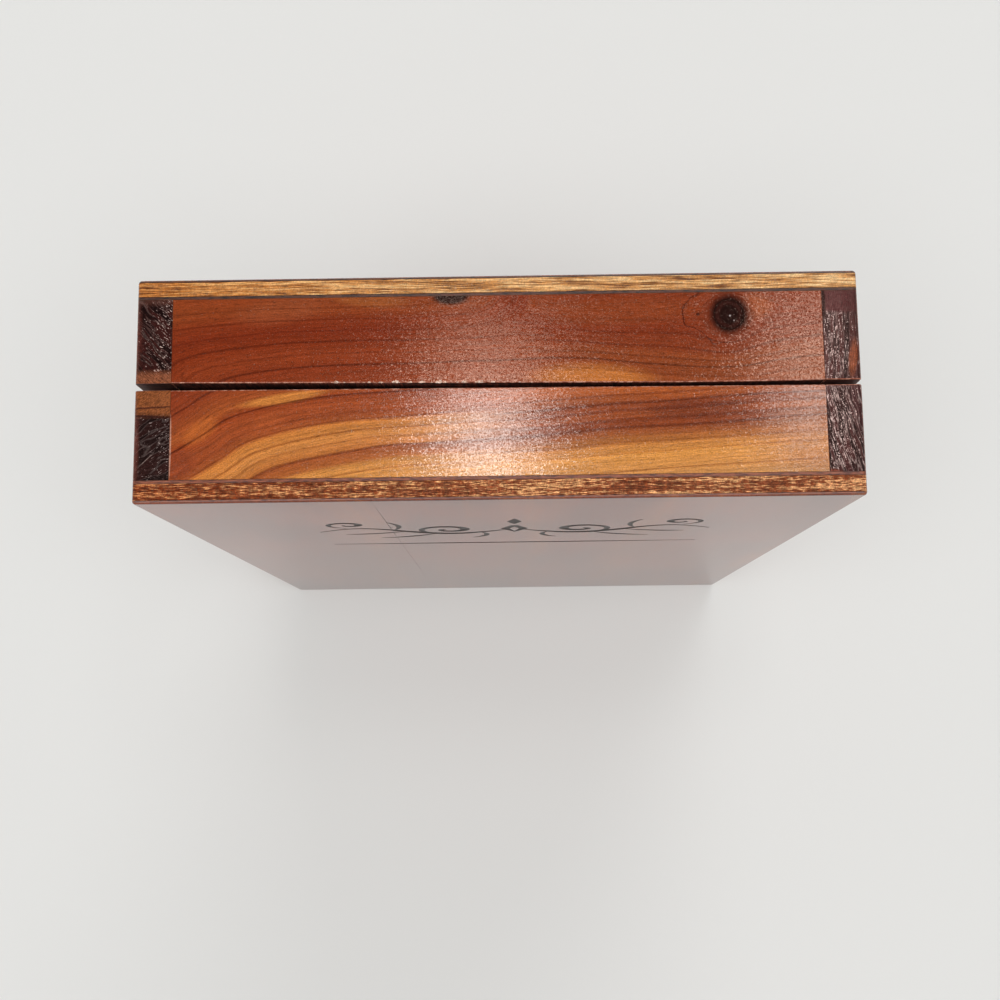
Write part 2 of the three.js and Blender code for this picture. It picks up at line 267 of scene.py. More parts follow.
def new_material(name):
    """An empty material and its node tree."""
    material = bpy.data.materials.new(name)
    material.use_nodes = True
    material.node_tree.nodes.clear()
    return material, material.node_tree


def solid_material(name):
    """An empty material, its tree, and the object's own X, Y and Z in millimetres."""
    material, tree = new_material(name)
    place = add_node(tree, "ShaderNodeTexCoord").outputs["Object"]
    scaled = add_node(tree, VECTOR, SCALED, (place, PER_MM))
    return material, tree, tuple(add_node(tree, SPLIT, links=(scaled,)).outputs)


def clouds(tree, parts, cell, detail=1.0, shift=0.0):
    """Cloudy noise around one half, whose clouds have the given real size in millimetres."""
    place = add_node(tree, JOIN, links=parts)
    cells = add_node(tree, MAPPING, links={
        "Vector": place, "Location": [shift] * 3, "Scale": [1 / size for size in cell],
    })
    return add_node(tree, "ShaderNodeTexNoise", links={
        "Vector": cells, "Scale": 1.0, "Detail": detail, "Roughness": 0.55,
    })


def speck_colours(tree, parts, cell):
    """A random colour for each speck of a surface, whose size is given in millimetres."""
    place = add_node(tree, JOIN, links=parts)
    specks = add_node(tree, "ShaderNodeTexVoronoi", links={"Vector": place, "Scale": 1 / cell})
    return specks.outputs["Color"]


def faceted(tree, normal, specks, tilt, share=1.0):
    """Turns the normal by a random tilt for each speck: mostly slight, now and then strong.

    tilt is the usual one, in degrees, and share how much of it each place gets.
    """
    centred = add_node(tree, VECTOR, MINUS, (specks, (0.5, 0.5, 0.5)))
    size = add_node(tree, VECTOR, UNSIGNED, (centred,))
    tails = add_node(tree, VECTOR, TIMES, (centred, size))
    tilts = add_node(tree, VECTOR, SCALED, (tails, math.radians(tilt) / TAIL_SPREAD))
    tilts = add_node(tree, VECTOR, SCALED, (tilts, share))
    turned = add_node(tree, VECTOR, PLUS, (normal, tilts))
    return add_node(tree, VECTOR, {"operation": "NORMALIZE"}, (turned,))


def surfaced(tree, colour, looks, height=None, depth=0.0, facets=None, tilt=0.0, share=1.0):
    """Gives a material its colour, the relief of its surface in millimetres, and its facets.

    looks are the shader's other inputs.
    """
    relief = {}
    if height is not None:
        normal = add_node(tree, BUMP, links={
            "Strength": 1.0, "Distance": depth * MM, "Height": height,
        })
        relief["Normal"] = faceted(tree, normal, facets, tilt, share) if facets else normal
    shader = add_node(tree, SURFACE, links={"Base Color": colour, **looks, **relief})
    add_node(tree, "ShaderNodeOutputMaterial", links=(shader,))


def oval_reach(tree, x, y, middle, radii, turn=0.0):
    """How far each place is from the middle of an oval: 1 on its outline."""
    place = add_node(tree, JOIN, links=(x, y))
    inside = add_node(tree, MAPPING, {"vector_type": "TEXTURE"}, {
        "Vector": place, "Location": (*middle, 0.0), "Rotation": (0.0, 0.0, math.radians(turn)),
        "Scale": (*radii, 1.0),
    })
    return add_node(tree, VECTOR, LENGTH, (inside,))


class Stain(NamedTuple):
    """A soft oval stain, in millimetres: full out to a share of its radii, and how strong."""

    middle: tuple
    radii: tuple
    colour: str
    turn: float = 0.0
    full: float = 0.4
    share: float = 1.0


def stained(tree, colour, x, y, stains):
    """Lays soft oval stains over a colour, in order."""
    for stain in stains:
        reach = oval_reach(tree, x, y, stain.middle, stain.radii, stain.turn)
        share = add_node(tree, RANGE, SMOOTH, (reach, 1.0, stain.full, 0.0, stain.share))
        colour = add_node(tree, MIX, COLOURS, (share, colour, linear(stain.colour)))
    return colour


def ramp_over(tree, rings, low, high, stops):
    """A colour for each place between two ring distances; stops are in millimetres."""
    share = add_node(tree, RANGE, links=(rings, low, high))
    placed = [((at - low) / (high - low), colour) for at, colour in stops]
    return add_node(tree, RAMP, {"stops": placed}, (share,))


# Figure. Each of these gives the growth rings' own distance in millimetres, which is the
# same all along a line of the grain.


def swept_rings(tree, x, y, shear, bend):
    """Rings nearly along a board, which sweep down at its spine end as they pass a knot.

    bend gives the sweep as shares of its reach along the board and of its drop across it.
    """
    slanted = add_node(tree, MATH, TIMES_PLUS, (y, shear, x))
    share = add_node(tree, RANGE, links=(slanted, *SWEEP_REACH))
    curve = add_node(tree, "ShaderNodeFloatCurve", {"points": bend}, {"Value": share})
    fall = add_node(tree, RANGE, links=(curve, 0.0, 1.0, *SWEEP_DROP))
    return add_node(tree, MATH, PLUS, (y, fall))


def trunk_rings(tree, along, across, depth, pith, wander):
    """Rings of a board sawn from a trunk that tapers, with its middle at pith at one end."""
    sway = clouds(tree, (along, across, depth), (70.0, 260.0, 260.0), 1.0, wander)
    offset = add_node(tree, VECTOR, SCALED, (sway.outputs["Color"], 6.0))
    place = add_node(tree, JOIN, links=(across, depth))
    swayed = add_node(tree, VECTOR, PLUS, (place, offset))
    flat = add_node(tree, VECTOR, TIMES, (swayed, (1, 1, 0)))
    reach = add_node(tree, VECTOR, {"operation": "DISTANCE"}, (flat, (*pith, 0.0)))
    return add_node(tree, MATH, TIMES_PLUS, (along, TRUNK_TAPER, reach))


def ring_colour(tree, wood, rings, along, depth, spacing, seed):
    """Colour of generic cedar: red-brown bands, golden streaks and dark latewood lines."""
    bands = clouds(tree, (rings, along, depth), (7.0, 190.0, 60.0), 2.0, seed)
    band_colour = add_node(tree, RAMP, {"stops": [
        (0.32, wood.dark_heartwood), (0.5, wood.heartwood), (0.66, linear("#9c5230")),
    ]}, (bands,))
    gold = clouds(tree, (rings, along, depth), (9.0, 260.0, 80.0), 1.0, seed + 7)
    gold_share = add_node(tree, RANGE, SMOOTH, (gold, 0.57, 0.72, 0.0, 0.75))
    golden = add_node(tree, MIX, COLOURS, (gold_share, band_colour, wood.sapwood))
    uneven = clouds(tree, (rings, along, depth), (4.5, 900.0, 400.0), 1.0, seed + 13)
    uneven_rings = add_node(tree, MATH, TIMES_PLUS, (uneven, 4.0, rings))
    count = add_node(tree, MATH, {"operation": "DIVIDE"}, (uneven_rings, spacing))
    part_way = add_node(tree, MATH, {"operation": "FRACT"}, (count,))
    latewood = add_node(tree, RAMP, {"stops": [
        (0.0, "#fdfdfd"), (0.7, "#f5f3f2"), (0.9, "#c9bbb6"), (0.97, "#b5a39d"), (1.0, "#e6e0de"),
    ]}, (part_way,))
    return add_node(tree, MIX, TINTED, (1.0, golden, latewood))


def fibre_marks(tree, along, rings, depth, seed, veining=1.0):
    """The fine marks of all cedar: how they shade it, and how high they stand."""
    fibres = clouds(tree, (along, rings, depth), (4.0, 0.27, 4.0), 1.0, seed)
    veins = clouds(tree, (along, rings, depth), (60.0, 0.9, 30.0), 2.0, seed + 3)
    pores = clouds(tree, (along, rings, depth), (1.7, 0.24, 0.5), 0.0, seed + 5)
    fibre_shade = add_node(tree, RANGE, links=(fibres, 0.3, 0.7, 0.84, 1.14))
    vein_shade = add_node(tree, RANGE, links=(
        veins, 0.3, 0.7, 1.0 - 0.2 * veining, 1.0 + 0.16 * veining,
    ))
    pore_shade = add_node(tree, RANGE, links=(pores, 0.6, 0.75, 1.0, 0.7))
    shade = add_node(tree, MATH, TIMES, (fibre_shade, vein_shade))
    shade = add_node(tree, MATH, TIMES, (shade, pore_shade))
    return shade, fibres


def varnished(tree, colour, marks, parts, relief, broken=1.0):
    """Cedar under brushed varnish. The eye gets a wet red-brown depth and broken glints.

    broken is how much of the relief's tilt and roughness each place gets.
    """
    shade, height = marks
    specks = clouds(tree, parts, (0.34, 0.27, 0.34), 0.0, 21)
    nib_clouds = clouds(tree, parts, (0.6, 0.5, 0.6), 0.0, 23)
    nibs = add_node(tree, RANGE, SMOOTH, (nib_clouds, 0.68, 0.8))
    speck_shade = add_node(tree, RANGE, links=(specks, 0.25, 0.75, 0.8, 1.2))
    all_shade = add_node(tree, MATH, TIMES, (shade, speck_shade))
    shaded = add_node(tree, VECTOR, SCALED, (colour, all_shade))
    grain = add_node(tree, MATH, TIMES, (height, relief.grain))
    raised = add_node(tree, MATH, TIMES_PLUS, (specks, relief.specks, grain))
    raised = add_node(tree, MATH, TIMES_PLUS, (nibs, relief.nibs, raised))
    facets = speck_colours(tree, parts, FILM_CELL)
    roughness = add_node(tree, RANGE, links=(facets, 0.32, 0.52, relief.dull, relief.gloss))
    dulling = add_node(tree, MATH, TIMES_PLUS, (broken, 0.6, 0.4))
    roughness = add_node(tree, MATH, TIMES, (roughness, dulling))
    looks = {"Roughness": roughness, "IOR": 1.5, "Specular Tint": linear(relief.amber)}
    surfaced(tree, shaded, looks, raised, 1.0, facets, relief.tilt, broken)


# How much wider the trunk grows along a board, as a share of the way
TRUNK_TAPER = 0.07
# The shade of wood with no dark line on it, and the tone of what clear varnish mirrors
PLAIN = "#ffffff"


class Relief(NamedTuple):
    """A film of varnish.

    The heights of its specks, its dust nibs and the grain under it are in millimetres. gloss
    and dull are the roughness of its glossy and its dull specks, tilt the usual tilt of its
    facets in degrees, and amber the tone of what it mirrors.
    """

    specks: float
    nibs: float
    grain: float
    gloss: float
    dull: float
    tilt: float
    amber: str = PLAIN


LID_HEAD_RELIEF = Relief(0.006, 0.01, 0.003, 0.085, 0.16, 0.6, "#fff7f1")
BASE_HEAD_RELIEF = Relief(0.006, 0.012, 0.004, 0.085, 0.17, 0.85, "#ffdcc7")
SIDE_RELIEF = Relief(0.005, 0.012, 0.004, 0.15, 0.22, 0.8)
FACE_RELIEF = Relief(0.0008, 0.0015, 0.0008, 0.14, 0.16, 0.05)
BACK_RELIEF = Relief(0.004, 0.008, 0.004, 0.18, 0.28, 0.5)

# Figure of the two head boards, in real millimetres and as shares. It runs in two sets of
# rings that meet along X. wood gives the colour at ring distances, and each line where a dark
# line starts, is darkest and ends.
LINE_SHARE = 0.8
LID_FIGURE = {
    "meeting": (-22.0, 14.0),
    "spine_side": {
        "wood": (
            (-30.0, "#c4803c"), (-21.2, "#cf8a45"), (-18.6, "#cb8440"), (-17.6, "#ad5f2d"),
            (-15.3, "#9d4f27"), (-14.8, "#b86c33"), (-12.0, "#c98040"), (-8.8, "#c97b38"),
            (-7.8, "#a15227"), (-6.2, "#984722"), (-3.2, "#9e4923"), (-1.3, "#923d1a"),
            (0.6, "#a25024"), (5.5, "#923e1e"), (12.0, "#823218"),
        ),
        "lines": (
            (-20.8, -20.45, -20.1, "#d2b9a4"), (-15.6, -15.1, -14.7, "#a8938c"),
            (-13.0, -12.8, -12.5, "#e2d2c6"), (-10.95, -10.65, -10.35, "#c4a996"),
            (-8.0, -7.8, -7.5, "#c4aa9e"), (-1.6, -1.25, -0.95, "#8b7570"),
            (5.4, 5.8, 6.1, "#a48e88"),
        ),
    },
    "fore_side": {
        "wood": (
            (-30.0, "#c08850"), (-26.0, "#cf8b4a"), (-22.0, "#dc9347"), (-20.0, "#cd8440"),
            (-18.2, "#b36a32"), (-16.6, "#975027"), (-14.5, "#8e4220"), (-11.5, "#9e4d25"),
            (-9.4, "#8a4020"), (-7.5, "#a65226"), (-5.0, "#b35a28"), (0.0, "#b45c29"),
        ),
        "lines": (
            (-26.1, -25.8, -25.5, "#b8a28c"), (-21.6, -21.3, -20.9, "#e0d0be"),
            (-19.2, -18.7, -18.2, "#c9b7aa"), (-15.7, -15.0, -14.3, "#ab948a"),
            (-14.3, -13.2, -12.4, "#d2c0b6"), (-11.3, -10.7, -10.1, "#c8b4aa"),
            (-9.4, -8.9, -8.3, "#a89288"), (-7.1, -6.7, -6.2, "#c8b8b0"),
            (-3.6, -3.2, -2.7, "#d2c4bc"),
        ),
    },
}
BASE_FIGURE = {
    "meeting": (-6.0, 30.0),
    "spine_side": {
        "wood": (
            (-4.0, "#8e3d1c"), (1.5, "#8b3a1c"), (5.5, "#843418"), (8.6, "#8c3a1b"),
            (11.8, "#803014"), (15.0, "#7b2c13"), (17.9, "#823216"), (21.0, "#8b3e1c"),
            (28.0, "#883a1b"),
        ),
        "lines": (
            (5.4, 5.8, 6.15, "#9c8984"), (8.5, 8.9, 9.2, "#ddd0cb"),
            (11.75, 12.1, 12.5, "#bcaca6"), (14.8, 15.0, 15.3, "#dccfca"),
            (17.8, 18.1, 18.5, "#cdbfb9"), (21.0, 21.3, 21.7, "#d3c5c0"),
        ),
    },
    "fore_side": {
        "wood": (
            (-4.0, "#8f4622"), (4.8, "#893f1d"), (8.4, "#8c411e"), (10.3, "#833719"),
            (15.0, "#7f3116"), (20.0, "#843619"), (28.0, "#7d3016"),
        ),
        "lines": (
            (2.7, 3.1, 3.6, "#dccfc8"), (5.45, 5.9, 6.3, "#8f7a74"), (7.4, 7.8, 8.3, "#d0c2bb"),
            (10.1, 10.6, 11.1, "#bfaea8"), (13.4, 13.8, 14.4, "#d6c8c1"),
        ),
    },
}

SWEEP_REACH = (-100.0, 100.0)
SWEEP_DROP = (-8.0, 20.0)
LID_SHEAR = 0.7
# Shares of the reach and of the drop: 16 mm at the spine end, none a third of the way on,
# and a slow rise after that
LID_BEND_SHARES = [
    (0.0, 0.89), (0.075, 0.665), (0.125, 0.51), (0.165, 0.44), (0.21, 0.38), (0.255, 0.332),
    (0.3, 0.3), (0.35, 0.286), (0.5, 0.225), (0.65, 0.157), (0.8, 0.1), (1.0, 0.02),
]
LID_GOLD = (Stain((-56.0, -2.6), (14.5, 1.8), "#c67a38", turn=9.0),)
LID_STAINS_AND_EDGE_HIGHLIGHT = (
    Stain((-77.5, -11.0), (7.0, 3.4), "#bb622a", turn=35.0, share=0.75),
    Stain((-60.0, -9.5), (6.5, 3.8), "#aa5228", turn=25.0, share=0.6),
    Stain((-83.0, -20.0), (6.0, 5.0), "#7c3420", turn=30.0, share=0.4),
    Stain((90.0, -14.0), (28.0, 17.0), "#ab6a44", share=0.55),
    Stain((52.0, -6.8), (19.0, 3.2), "#6b2c18", turn=2.0, share=0.6),
    # A pale line at the joint with the spine board's end grain: partly glue, partly a painted
    # highlight on the head board's edge
    Stain((-85.3, -15.0), (0.32, 9.5), "#c69480", full=0.7, share=0.8),
)
BASE_SHEAR = 1.5
BASE_SHEAR_FROM = 5.8
BASE_BEND_SHARES = [
    (0.0, 0.75), (0.05, 0.57), (0.08, 0.48), (0.115, 0.407), (0.15, 0.364), (0.195, 0.327),
    (0.23, 0.307), (0.275, 0.286), (0.5, 0.25), (0.62, 0.235), (0.7, 0.27), (0.8, 0.275),
    (0.9, 0.235), (1.0, 0.215),
]
BASE_STAINS = (
    Stain((25.0, 1.4), (21.0, 5.4), "#c47433", turn=-3.0, share=0.8),
    Stain((-57.0, 21.0), (16.0, 4.5), "#9c5130", turn=8.0, share=0.4),
    Stain((-12.0, 24.8), (6.2, 3.4), "#24110f", full=0.6),
    Stain((-33.0, 23.6), (13.0, 2.6), "#a8602f", turn=-4.0, share=0.5),
    Stain((32.0, 19.5), (28.0, 5.0), "#8a3f1e", turn=2.0, share=0.6),
    Stain((67.5, 20.5), (6.5, 4.5), "#a4562f", share=0.6),
    Stain((-6.0, 9.0), (26.0, 16.0), "#94482a", share=0.45),
)
KNOT_CENTRE = (61.0, 18.4)
KNOT_PUSH_RADIUS = 5.2
KNOT_BARK = {"middle": (59.2, 18.7), "radii": (10.8, 7.6)}
# Two painted highlights on varnish beads on the knot, and a dark speck to its left
KNOT_GLINTS_AND_SPECK = (
    Stain((61.3, 18.0), (0.38, 0.34), "#c9bdb9", full=0.3, share=0.8),
    Stain((62.3, 16.7), (0.3, 0.3), "#b9aaa6", full=0.3, share=0.7),
    Stain((52.9, 18.5), (0.7, 0.6), "#33140e", share=0.8),
)
SHADOW_CENTRE = (-7.0, 24.5)
SHADOW_RADII = (15.2, 11.5)

# Old stains on the lid's face as X and Z, and how far up from the foot painted shade darkens the
# veneers
FACE_SMUDGES = (
    Stain((-80.0, 17.0), (19.0, 13.0), "#43292a", turn=6.0, share=0.4),
    Stain((-27.0, 74.0), (15.0, 9.0), "#4a2f2c", share=0.35),
    Stain((62.0, 24.0), (20.0, 10.0), "#553a36", share=0.3),
)
PAINTED_FOOT_SHADE_REACH = 190.0

# How much wider apart the rings lie in a veneer, and the brown that sealed end grain mirrors
VENEER_WIDENING = 1.3
END_TONE = "#e6b0a6"


def wavering(tree, x, y, z, seed):
    """Y with a slow waver of under a millimetre, so that no line runs quite straight."""
    wander = clouds(tree, (x, y, z), (40.0, 14.0, 30.0), 1.0, seed)
    wavy = add_node(tree, MATH, TIMES_PLUS, (wander, 1.6, y))
    return add_node(tree, MATH, MINUS, (wavy, 0.8))


def head_figure(tree, x, y, rings, figure, stains, gold=()):
    """A head board's colour: two sets of rings, golden streaks on the first, stains, lines."""
    woods = []
    line_shades = []
    for side in ("spine_side", "fore_side"):
        wood = figure[side]["wood"]
        low, high = wood[0][0], wood[-1][0]
        woods.append(ramp_over(tree, rings, low, high, wood))
        stops = []
        for start, middle, end, shade in figure[side]["lines"]:
            stops += [(middle, shade), (end, PLAIN)]
            if (start, PLAIN) not in stops:
                stops.insert(-2, (start, PLAIN))
        line_shades.append(ramp_over(tree, rings, low, high, stops))
    side = add_node(tree, RANGE, SMOOTH, (x, *figure["meeting"]))
    colour = add_node(tree, MIX, COLOURS, (side, stained(tree, woods[0], x, y, gold), woods[1]))
    colour = stained(tree, colour, x, y, stains)
    lines = add_node(tree, MIX, COLOURS, (side, line_shades[0], line_shades[1]))
    return add_node(tree, MIX, TINTED, (LINE_SHARE, colour, lines))


def lid_head_material():
    """The lid's head board: golden wood under a sweep of dark lines, heartwood at the right."""
    material, tree, (x, y, z) = solid_material("varnished_cedar_lid_head")
    rings = swept_rings(tree, x, wavering(tree, x, y, z, 2), LID_SHEAR, LID_BEND_SHARES)
    colour = head_figure(tree, x, y, rings, LID_FIGURE, LID_STAINS_AND_EDGE_HIGHLIGHT, LID_GOLD)
    marks = fibre_marks(tree, x, rings, z, 4)
    varnished(tree, colour, marks, (x, y, z), LID_HEAD_RELIEF)
    return material


def base_head_material():
    """The base's head board: dark red heartwood with a knot and half of another."""
    material, tree, (x, y, z) = solid_material("varnished_cedar_base_head")
    level = wavering(tree, x, y, z, 9)
    shear_x = add_node(tree, MATH, MINUS, (x, BASE_SHEAR * BASE_SHEAR_FROM))
    rings = swept_rings(tree, shear_x, level, BASE_SHEAR, BASE_BEND_SHARES)

    # The rings part round the knot, as water does round a post.
    flat_place = add_node(tree, JOIN, links=(x, level))
    from_knot = add_node(tree, VECTOR, MINUS, (flat_place, (*KNOT_CENTRE, 0.0)))
    knot_reach = add_node(tree, VECTOR, LENGTH, (from_knot,))
    knot_away = add_node(tree, MATH, LARGER, (knot_reach, KNOT_PUSH_RADIUS))
    nearness = add_node(tree, MATH, {"operation": "DIVIDE"}, (KNOT_PUSH_RADIUS, knot_away))
    push = add_node(tree, MATH, {"operation": "POWER"}, (nearness, 2.0))
    knot_parts = add_node(tree, SPLIT, links=(from_knot,))
    pushed = add_node(tree, MATH, TIMES, (knot_parts.outputs[1], push))
    parted = add_node(tree, MATH, MINUS, (rings, pushed))

    # Under the half knot they close round its right side.
    past_centre = add_node(tree, MATH, MINUS, (x, SHADOW_CENTRE[0]))
    right_only = add_node(tree, MATH, LARGER, (past_centre, 0.0))
    squeezed = add_node(tree, MATH, TIMES, (right_only, SHADOW_RADII[1] / SHADOW_RADII[0]))
    below = add_node(tree, MATH, MINUS, (SHADOW_CENTRE[1], parted))
    closing = add_node(tree, JOIN, links=(squeezed, below))
    closing_reach = add_node(tree, VECTOR, LENGTH, (closing,))
    inside = add_node(tree, RANGE, SMOOTH, (closing_reach, 12.4, 11.2))
    closed = add_node(tree, MATH, MINUS, (SHADOW_CENTRE[1], closing_reach))
    all_rings = add_node(tree, MIX, {"data_type": "FLOAT"}, (inside, parted, closed))

    colour = head_figure(tree, x, y, all_rings, BASE_FIGURE, BASE_STAINS)

    # The knot: near black, with a dark halo and, further out, a thin line where its bark was.
    knot_colour = ramp_over(tree, knot_reach, 0.0, 12.0, [
        (0.0, "#2a1210"), (2.0, "#1f0b09"), (3.0, "#351511"), (3.9, "#1f0a07"), (4.6, "#471a0f"),
        (5.6, "#682814"), (8.0, "#7e341a"), (12.0, "#80361c"),
    ])
    knot_share = add_node(tree, RANGE, SMOOTH, (knot_reach, 8.5, 4.2))
    colour = add_node(tree, MIX, COLOURS, (knot_share, colour, knot_colour))
    wobble = clouds(tree, (x, y, z), (5.0, 5.0, 5.0), 1.0, 19)
    wobbly = add_node(tree, MATH, TIMES_PLUS, (wobble, 5.0, level))
    sunk = add_node(tree, MATH, MINUS, (wobbly, 2.5))
    bark_reach = oval_reach(tree, x, sunk, KNOT_BARK["middle"], KNOT_BARK["radii"])
    bark = add_node(tree, RAMP, {"stops": [
        (0.92, PLAIN), (0.96, "#a08a84"), (0.99, PLAIN),
    ]}, (bark_reach,))
    bark_share = add_node(tree, RANGE, links=(x, 68.0, 56.0))
    colour = add_node(tree, MIX, TINTED, (bark_share, colour, bark))
    broken = add_node(tree, RANGE, links=(knot_reach, 3.8, 6.2, 0.1))
    marks = fibre_marks(tree, x, all_rings, z, 14, 0.55)
    # Painted highlights on the knot's varnish beads, and a dark speck
    colour = stained(tree, colour, x, y, KNOT_GLINTS_AND_SPECK)
    varnished(tree, colour, marks, (x, y, z), BASE_HEAD_RELIEF, broken)
    return material


# The boards with no figure of their own: the way the grain runs, where the trunk's middle is
# as millimetres along the board's width and Y, and a seed
PLAIN_BOARDS = {
    "base_foot_board": ("X", (40.0, 250.0), 61),
    "lid_foot_board": ("X", (-45.0, 250.0), 67),
    "base_spine_board": ("Z", (-150.0, 30.0), 71),
    "base_fore_edge_board": ("Z", (118.0, 16.0), 73),
    "lid_spine_board": ("Z", (-140.0, -40.0), 79),
    "lid_fore_edge_board": ("Z", (116.0, -42.0), 83),
}


def board_material(wood, name, grain, pith, seed):
    """Varnished cedar for a board with its grain along X or Z."""
    material, tree, (x, y, z) = solid_material(f"varnished_cedar_{name}")
    along, across = (z, x) if grain == "Z" else (x, z)
    rings = trunk_rings(tree, along, across, y, pith, seed)
    spacing = wood.ring_spacing * PER_MM
    colour = ring_colour(tree, wood, rings, along, y, spacing, seed)
    marks = fibre_marks(tree, along, rings, y, seed)
    varnished(tree, colour, marks, (x, y, z), SIDE_RELIEF)
    return material


def raw_material(name, stops, cell, seed, roughness=0.6):
    """Cedar with no varnish on it, sanded, sawn or torn: matt, and mostly paler and pinker. The
    worn arrises' paleness is partly a painted highlight, and the sawn rims' darkness partly
    painted shade for the gap between lid and base.
    """
    material, tree, (x, y, z) = solid_material(name)
    grain = clouds(tree, (x, y, z), cell, 2.0, seed)
    colour = add_node(tree, RAMP, {"stops": stops}, (grain,))
    surfaced(tree, colour, {"Roughness": roughness, "IOR": 1.45}, grain, 0.08)
    return material


def bare_material(wood, name, grain, pith):
    """Bare cedar inside the box, sanded and never varnished: paler, pinker and matt."""
    material, tree, (x, y, z) = solid_material(f"bare_cedar_{name}")
    along, across = (z, x) if grain == "Z" else (x, z)
    rings = trunk_rings(tree, along, across, y, pith, 31)
    bands = clouds(tree, (rings, along, y), (5.0, 200.0, 60.0), 2.0, 33)
    colour = add_node(tree, RAMP, {"stops": [
        (0.34, "#a4634a"), (0.5, wood.bare_wood), (0.64, "#c9936b"),
    ]}, (bands,))
    shade, height = fibre_marks(tree, along, rings, across, 35)
    shaded = add_node(tree, VECTOR, SCALED, (colour, shade))
    surfaced(tree, shaded, {"Roughness": 0.62, "IOR": 1.45}, height, 0.02)
    return material


# End grain of the four long boards. Its glints are painted highlights, a pale painted sheen
# colour mixed into its own. strokes are the length, the width and the slant of its ridges, sway
# how far they wander, lines how much the growth rings show as pale painted lines, coverage how
# bright a speck has to be to get a painted glint, gather from where to where along X the
# painted glints grow thicker, and under and over the stains below and above them.
END_GRAIN = {
    "base_spine_board": {
        "dark": "#180909", "mid": "#3e1b18", "band": 1.3, "strokes": (1.3, 0.24), "slant": -45.0,
        "sway": 2.5, "lines": 0.1, "coverage": 0.69, "painted_sheen": "#c9b0a6",
        "gather": (-96.0, -87.0),
        "under": (
            Stain((-95.5, 14.0), (2.6, 16.0), "#6a332a", share=0.7),
            Stain((-90.0, 25.0), (60.0, 2.6), "#5a352c", share=0.8),
        ),
        "over": (
            Stain((-90.0, 0.5), (60.0, 5.5), "#8f5439", full=0.6),
        ),
    },
    "lid_spine_board": {
        "dark": "#100808", "mid": "#2c1513", "band": 2.2, "strokes": (1.2, 0.2), "slant": 32.0,
        "sway": 3.0, "lines": 0.12, "coverage": 0.71, "painted_sheen": "#bdaaa4",
        "gather": (-96.0, -85.0),
        "under": (
            Stain((-95.5, -15.0), (2.6, 18.0), "#7c4238", share=0.75),
        ),
        "over": (
            Stain((-90.0, 0.5), (60.0, 8.4), "#95552f", full=0.7),
            Stain((-90.0, -4.6), (9.0, 0.35), "#5c2f1e", turn=3.0),
            Stain((-90.5, -7.0), (8.0, 0.45), "#3c1c14", turn=-4.0),
            Stain((-91.6, -18.6), (3.6, 0.16), "#86736c", turn=44.0),
        ),
    },
    "base_fore_edge_board": {
        "dark": "#170a0a", "mid": "#4a2624", "band": 0.9, "strokes": (2.2, 0.22), "slant": 86.0,
        "sway": 1.2, "lines": 0.22, "coverage": 0.645, "painted_sheen": "#e0c4bc",
        "gather": (93.0, 89.5),
        "under": (
            Stain((94.0, 9.0), (2.4, 14.0), "#4a1f1c", share=0.8),
            Stain((91.2, 7.0), (0.9, 9.5), "#0c0505", turn=-6.0),
        ),
        "over": (
            Stain((93.0, 6.2), (1.5, 6.6), "#a9562d", turn=-7.0, share=0.75),
            Stain((91.0, 26.0), (20.0, 8.0), "#562b2b", full=0.85, share=0.92),
            Stain((85.0, 21.0), (1.7, 8.0), "#21130f", full=0.7),
            Stain((85.2, 8.0), (0.7, 9.0), "#190b0b"),
            Stain((95.2, 19.0), (1.1, 8.0), "#1e0d0d", share=0.8),
        ),
    },
    "lid_fore_edge_board": {
        "dark": "#160a0a", "mid": "#472423", "band": 0.8, "strokes": (3.2, 0.22), "slant": -76.0,
        "sway": 1.5, "lines": 0.5, "coverage": 0.645, "painted_sheen": "#e0c4bc",
        "gather": (94.0, 89.5),
        "under": (
            Stain((94.2, -6.0), (3.0, 12.0), "#3f1d20", turn=6.0, share=0.9),
        ),
        "over": (
            Stain((87.0, -24.2), (3.4, 1.3), "#7a3a28", turn=-10.0),
            Stain((91.0, -0.6), (12.0, 1.4), "#5b3a38", share=0.6),
            Stain((85.5, -14.0), (0.4, 16.0), "#180b0b"),
        ),
    },
}


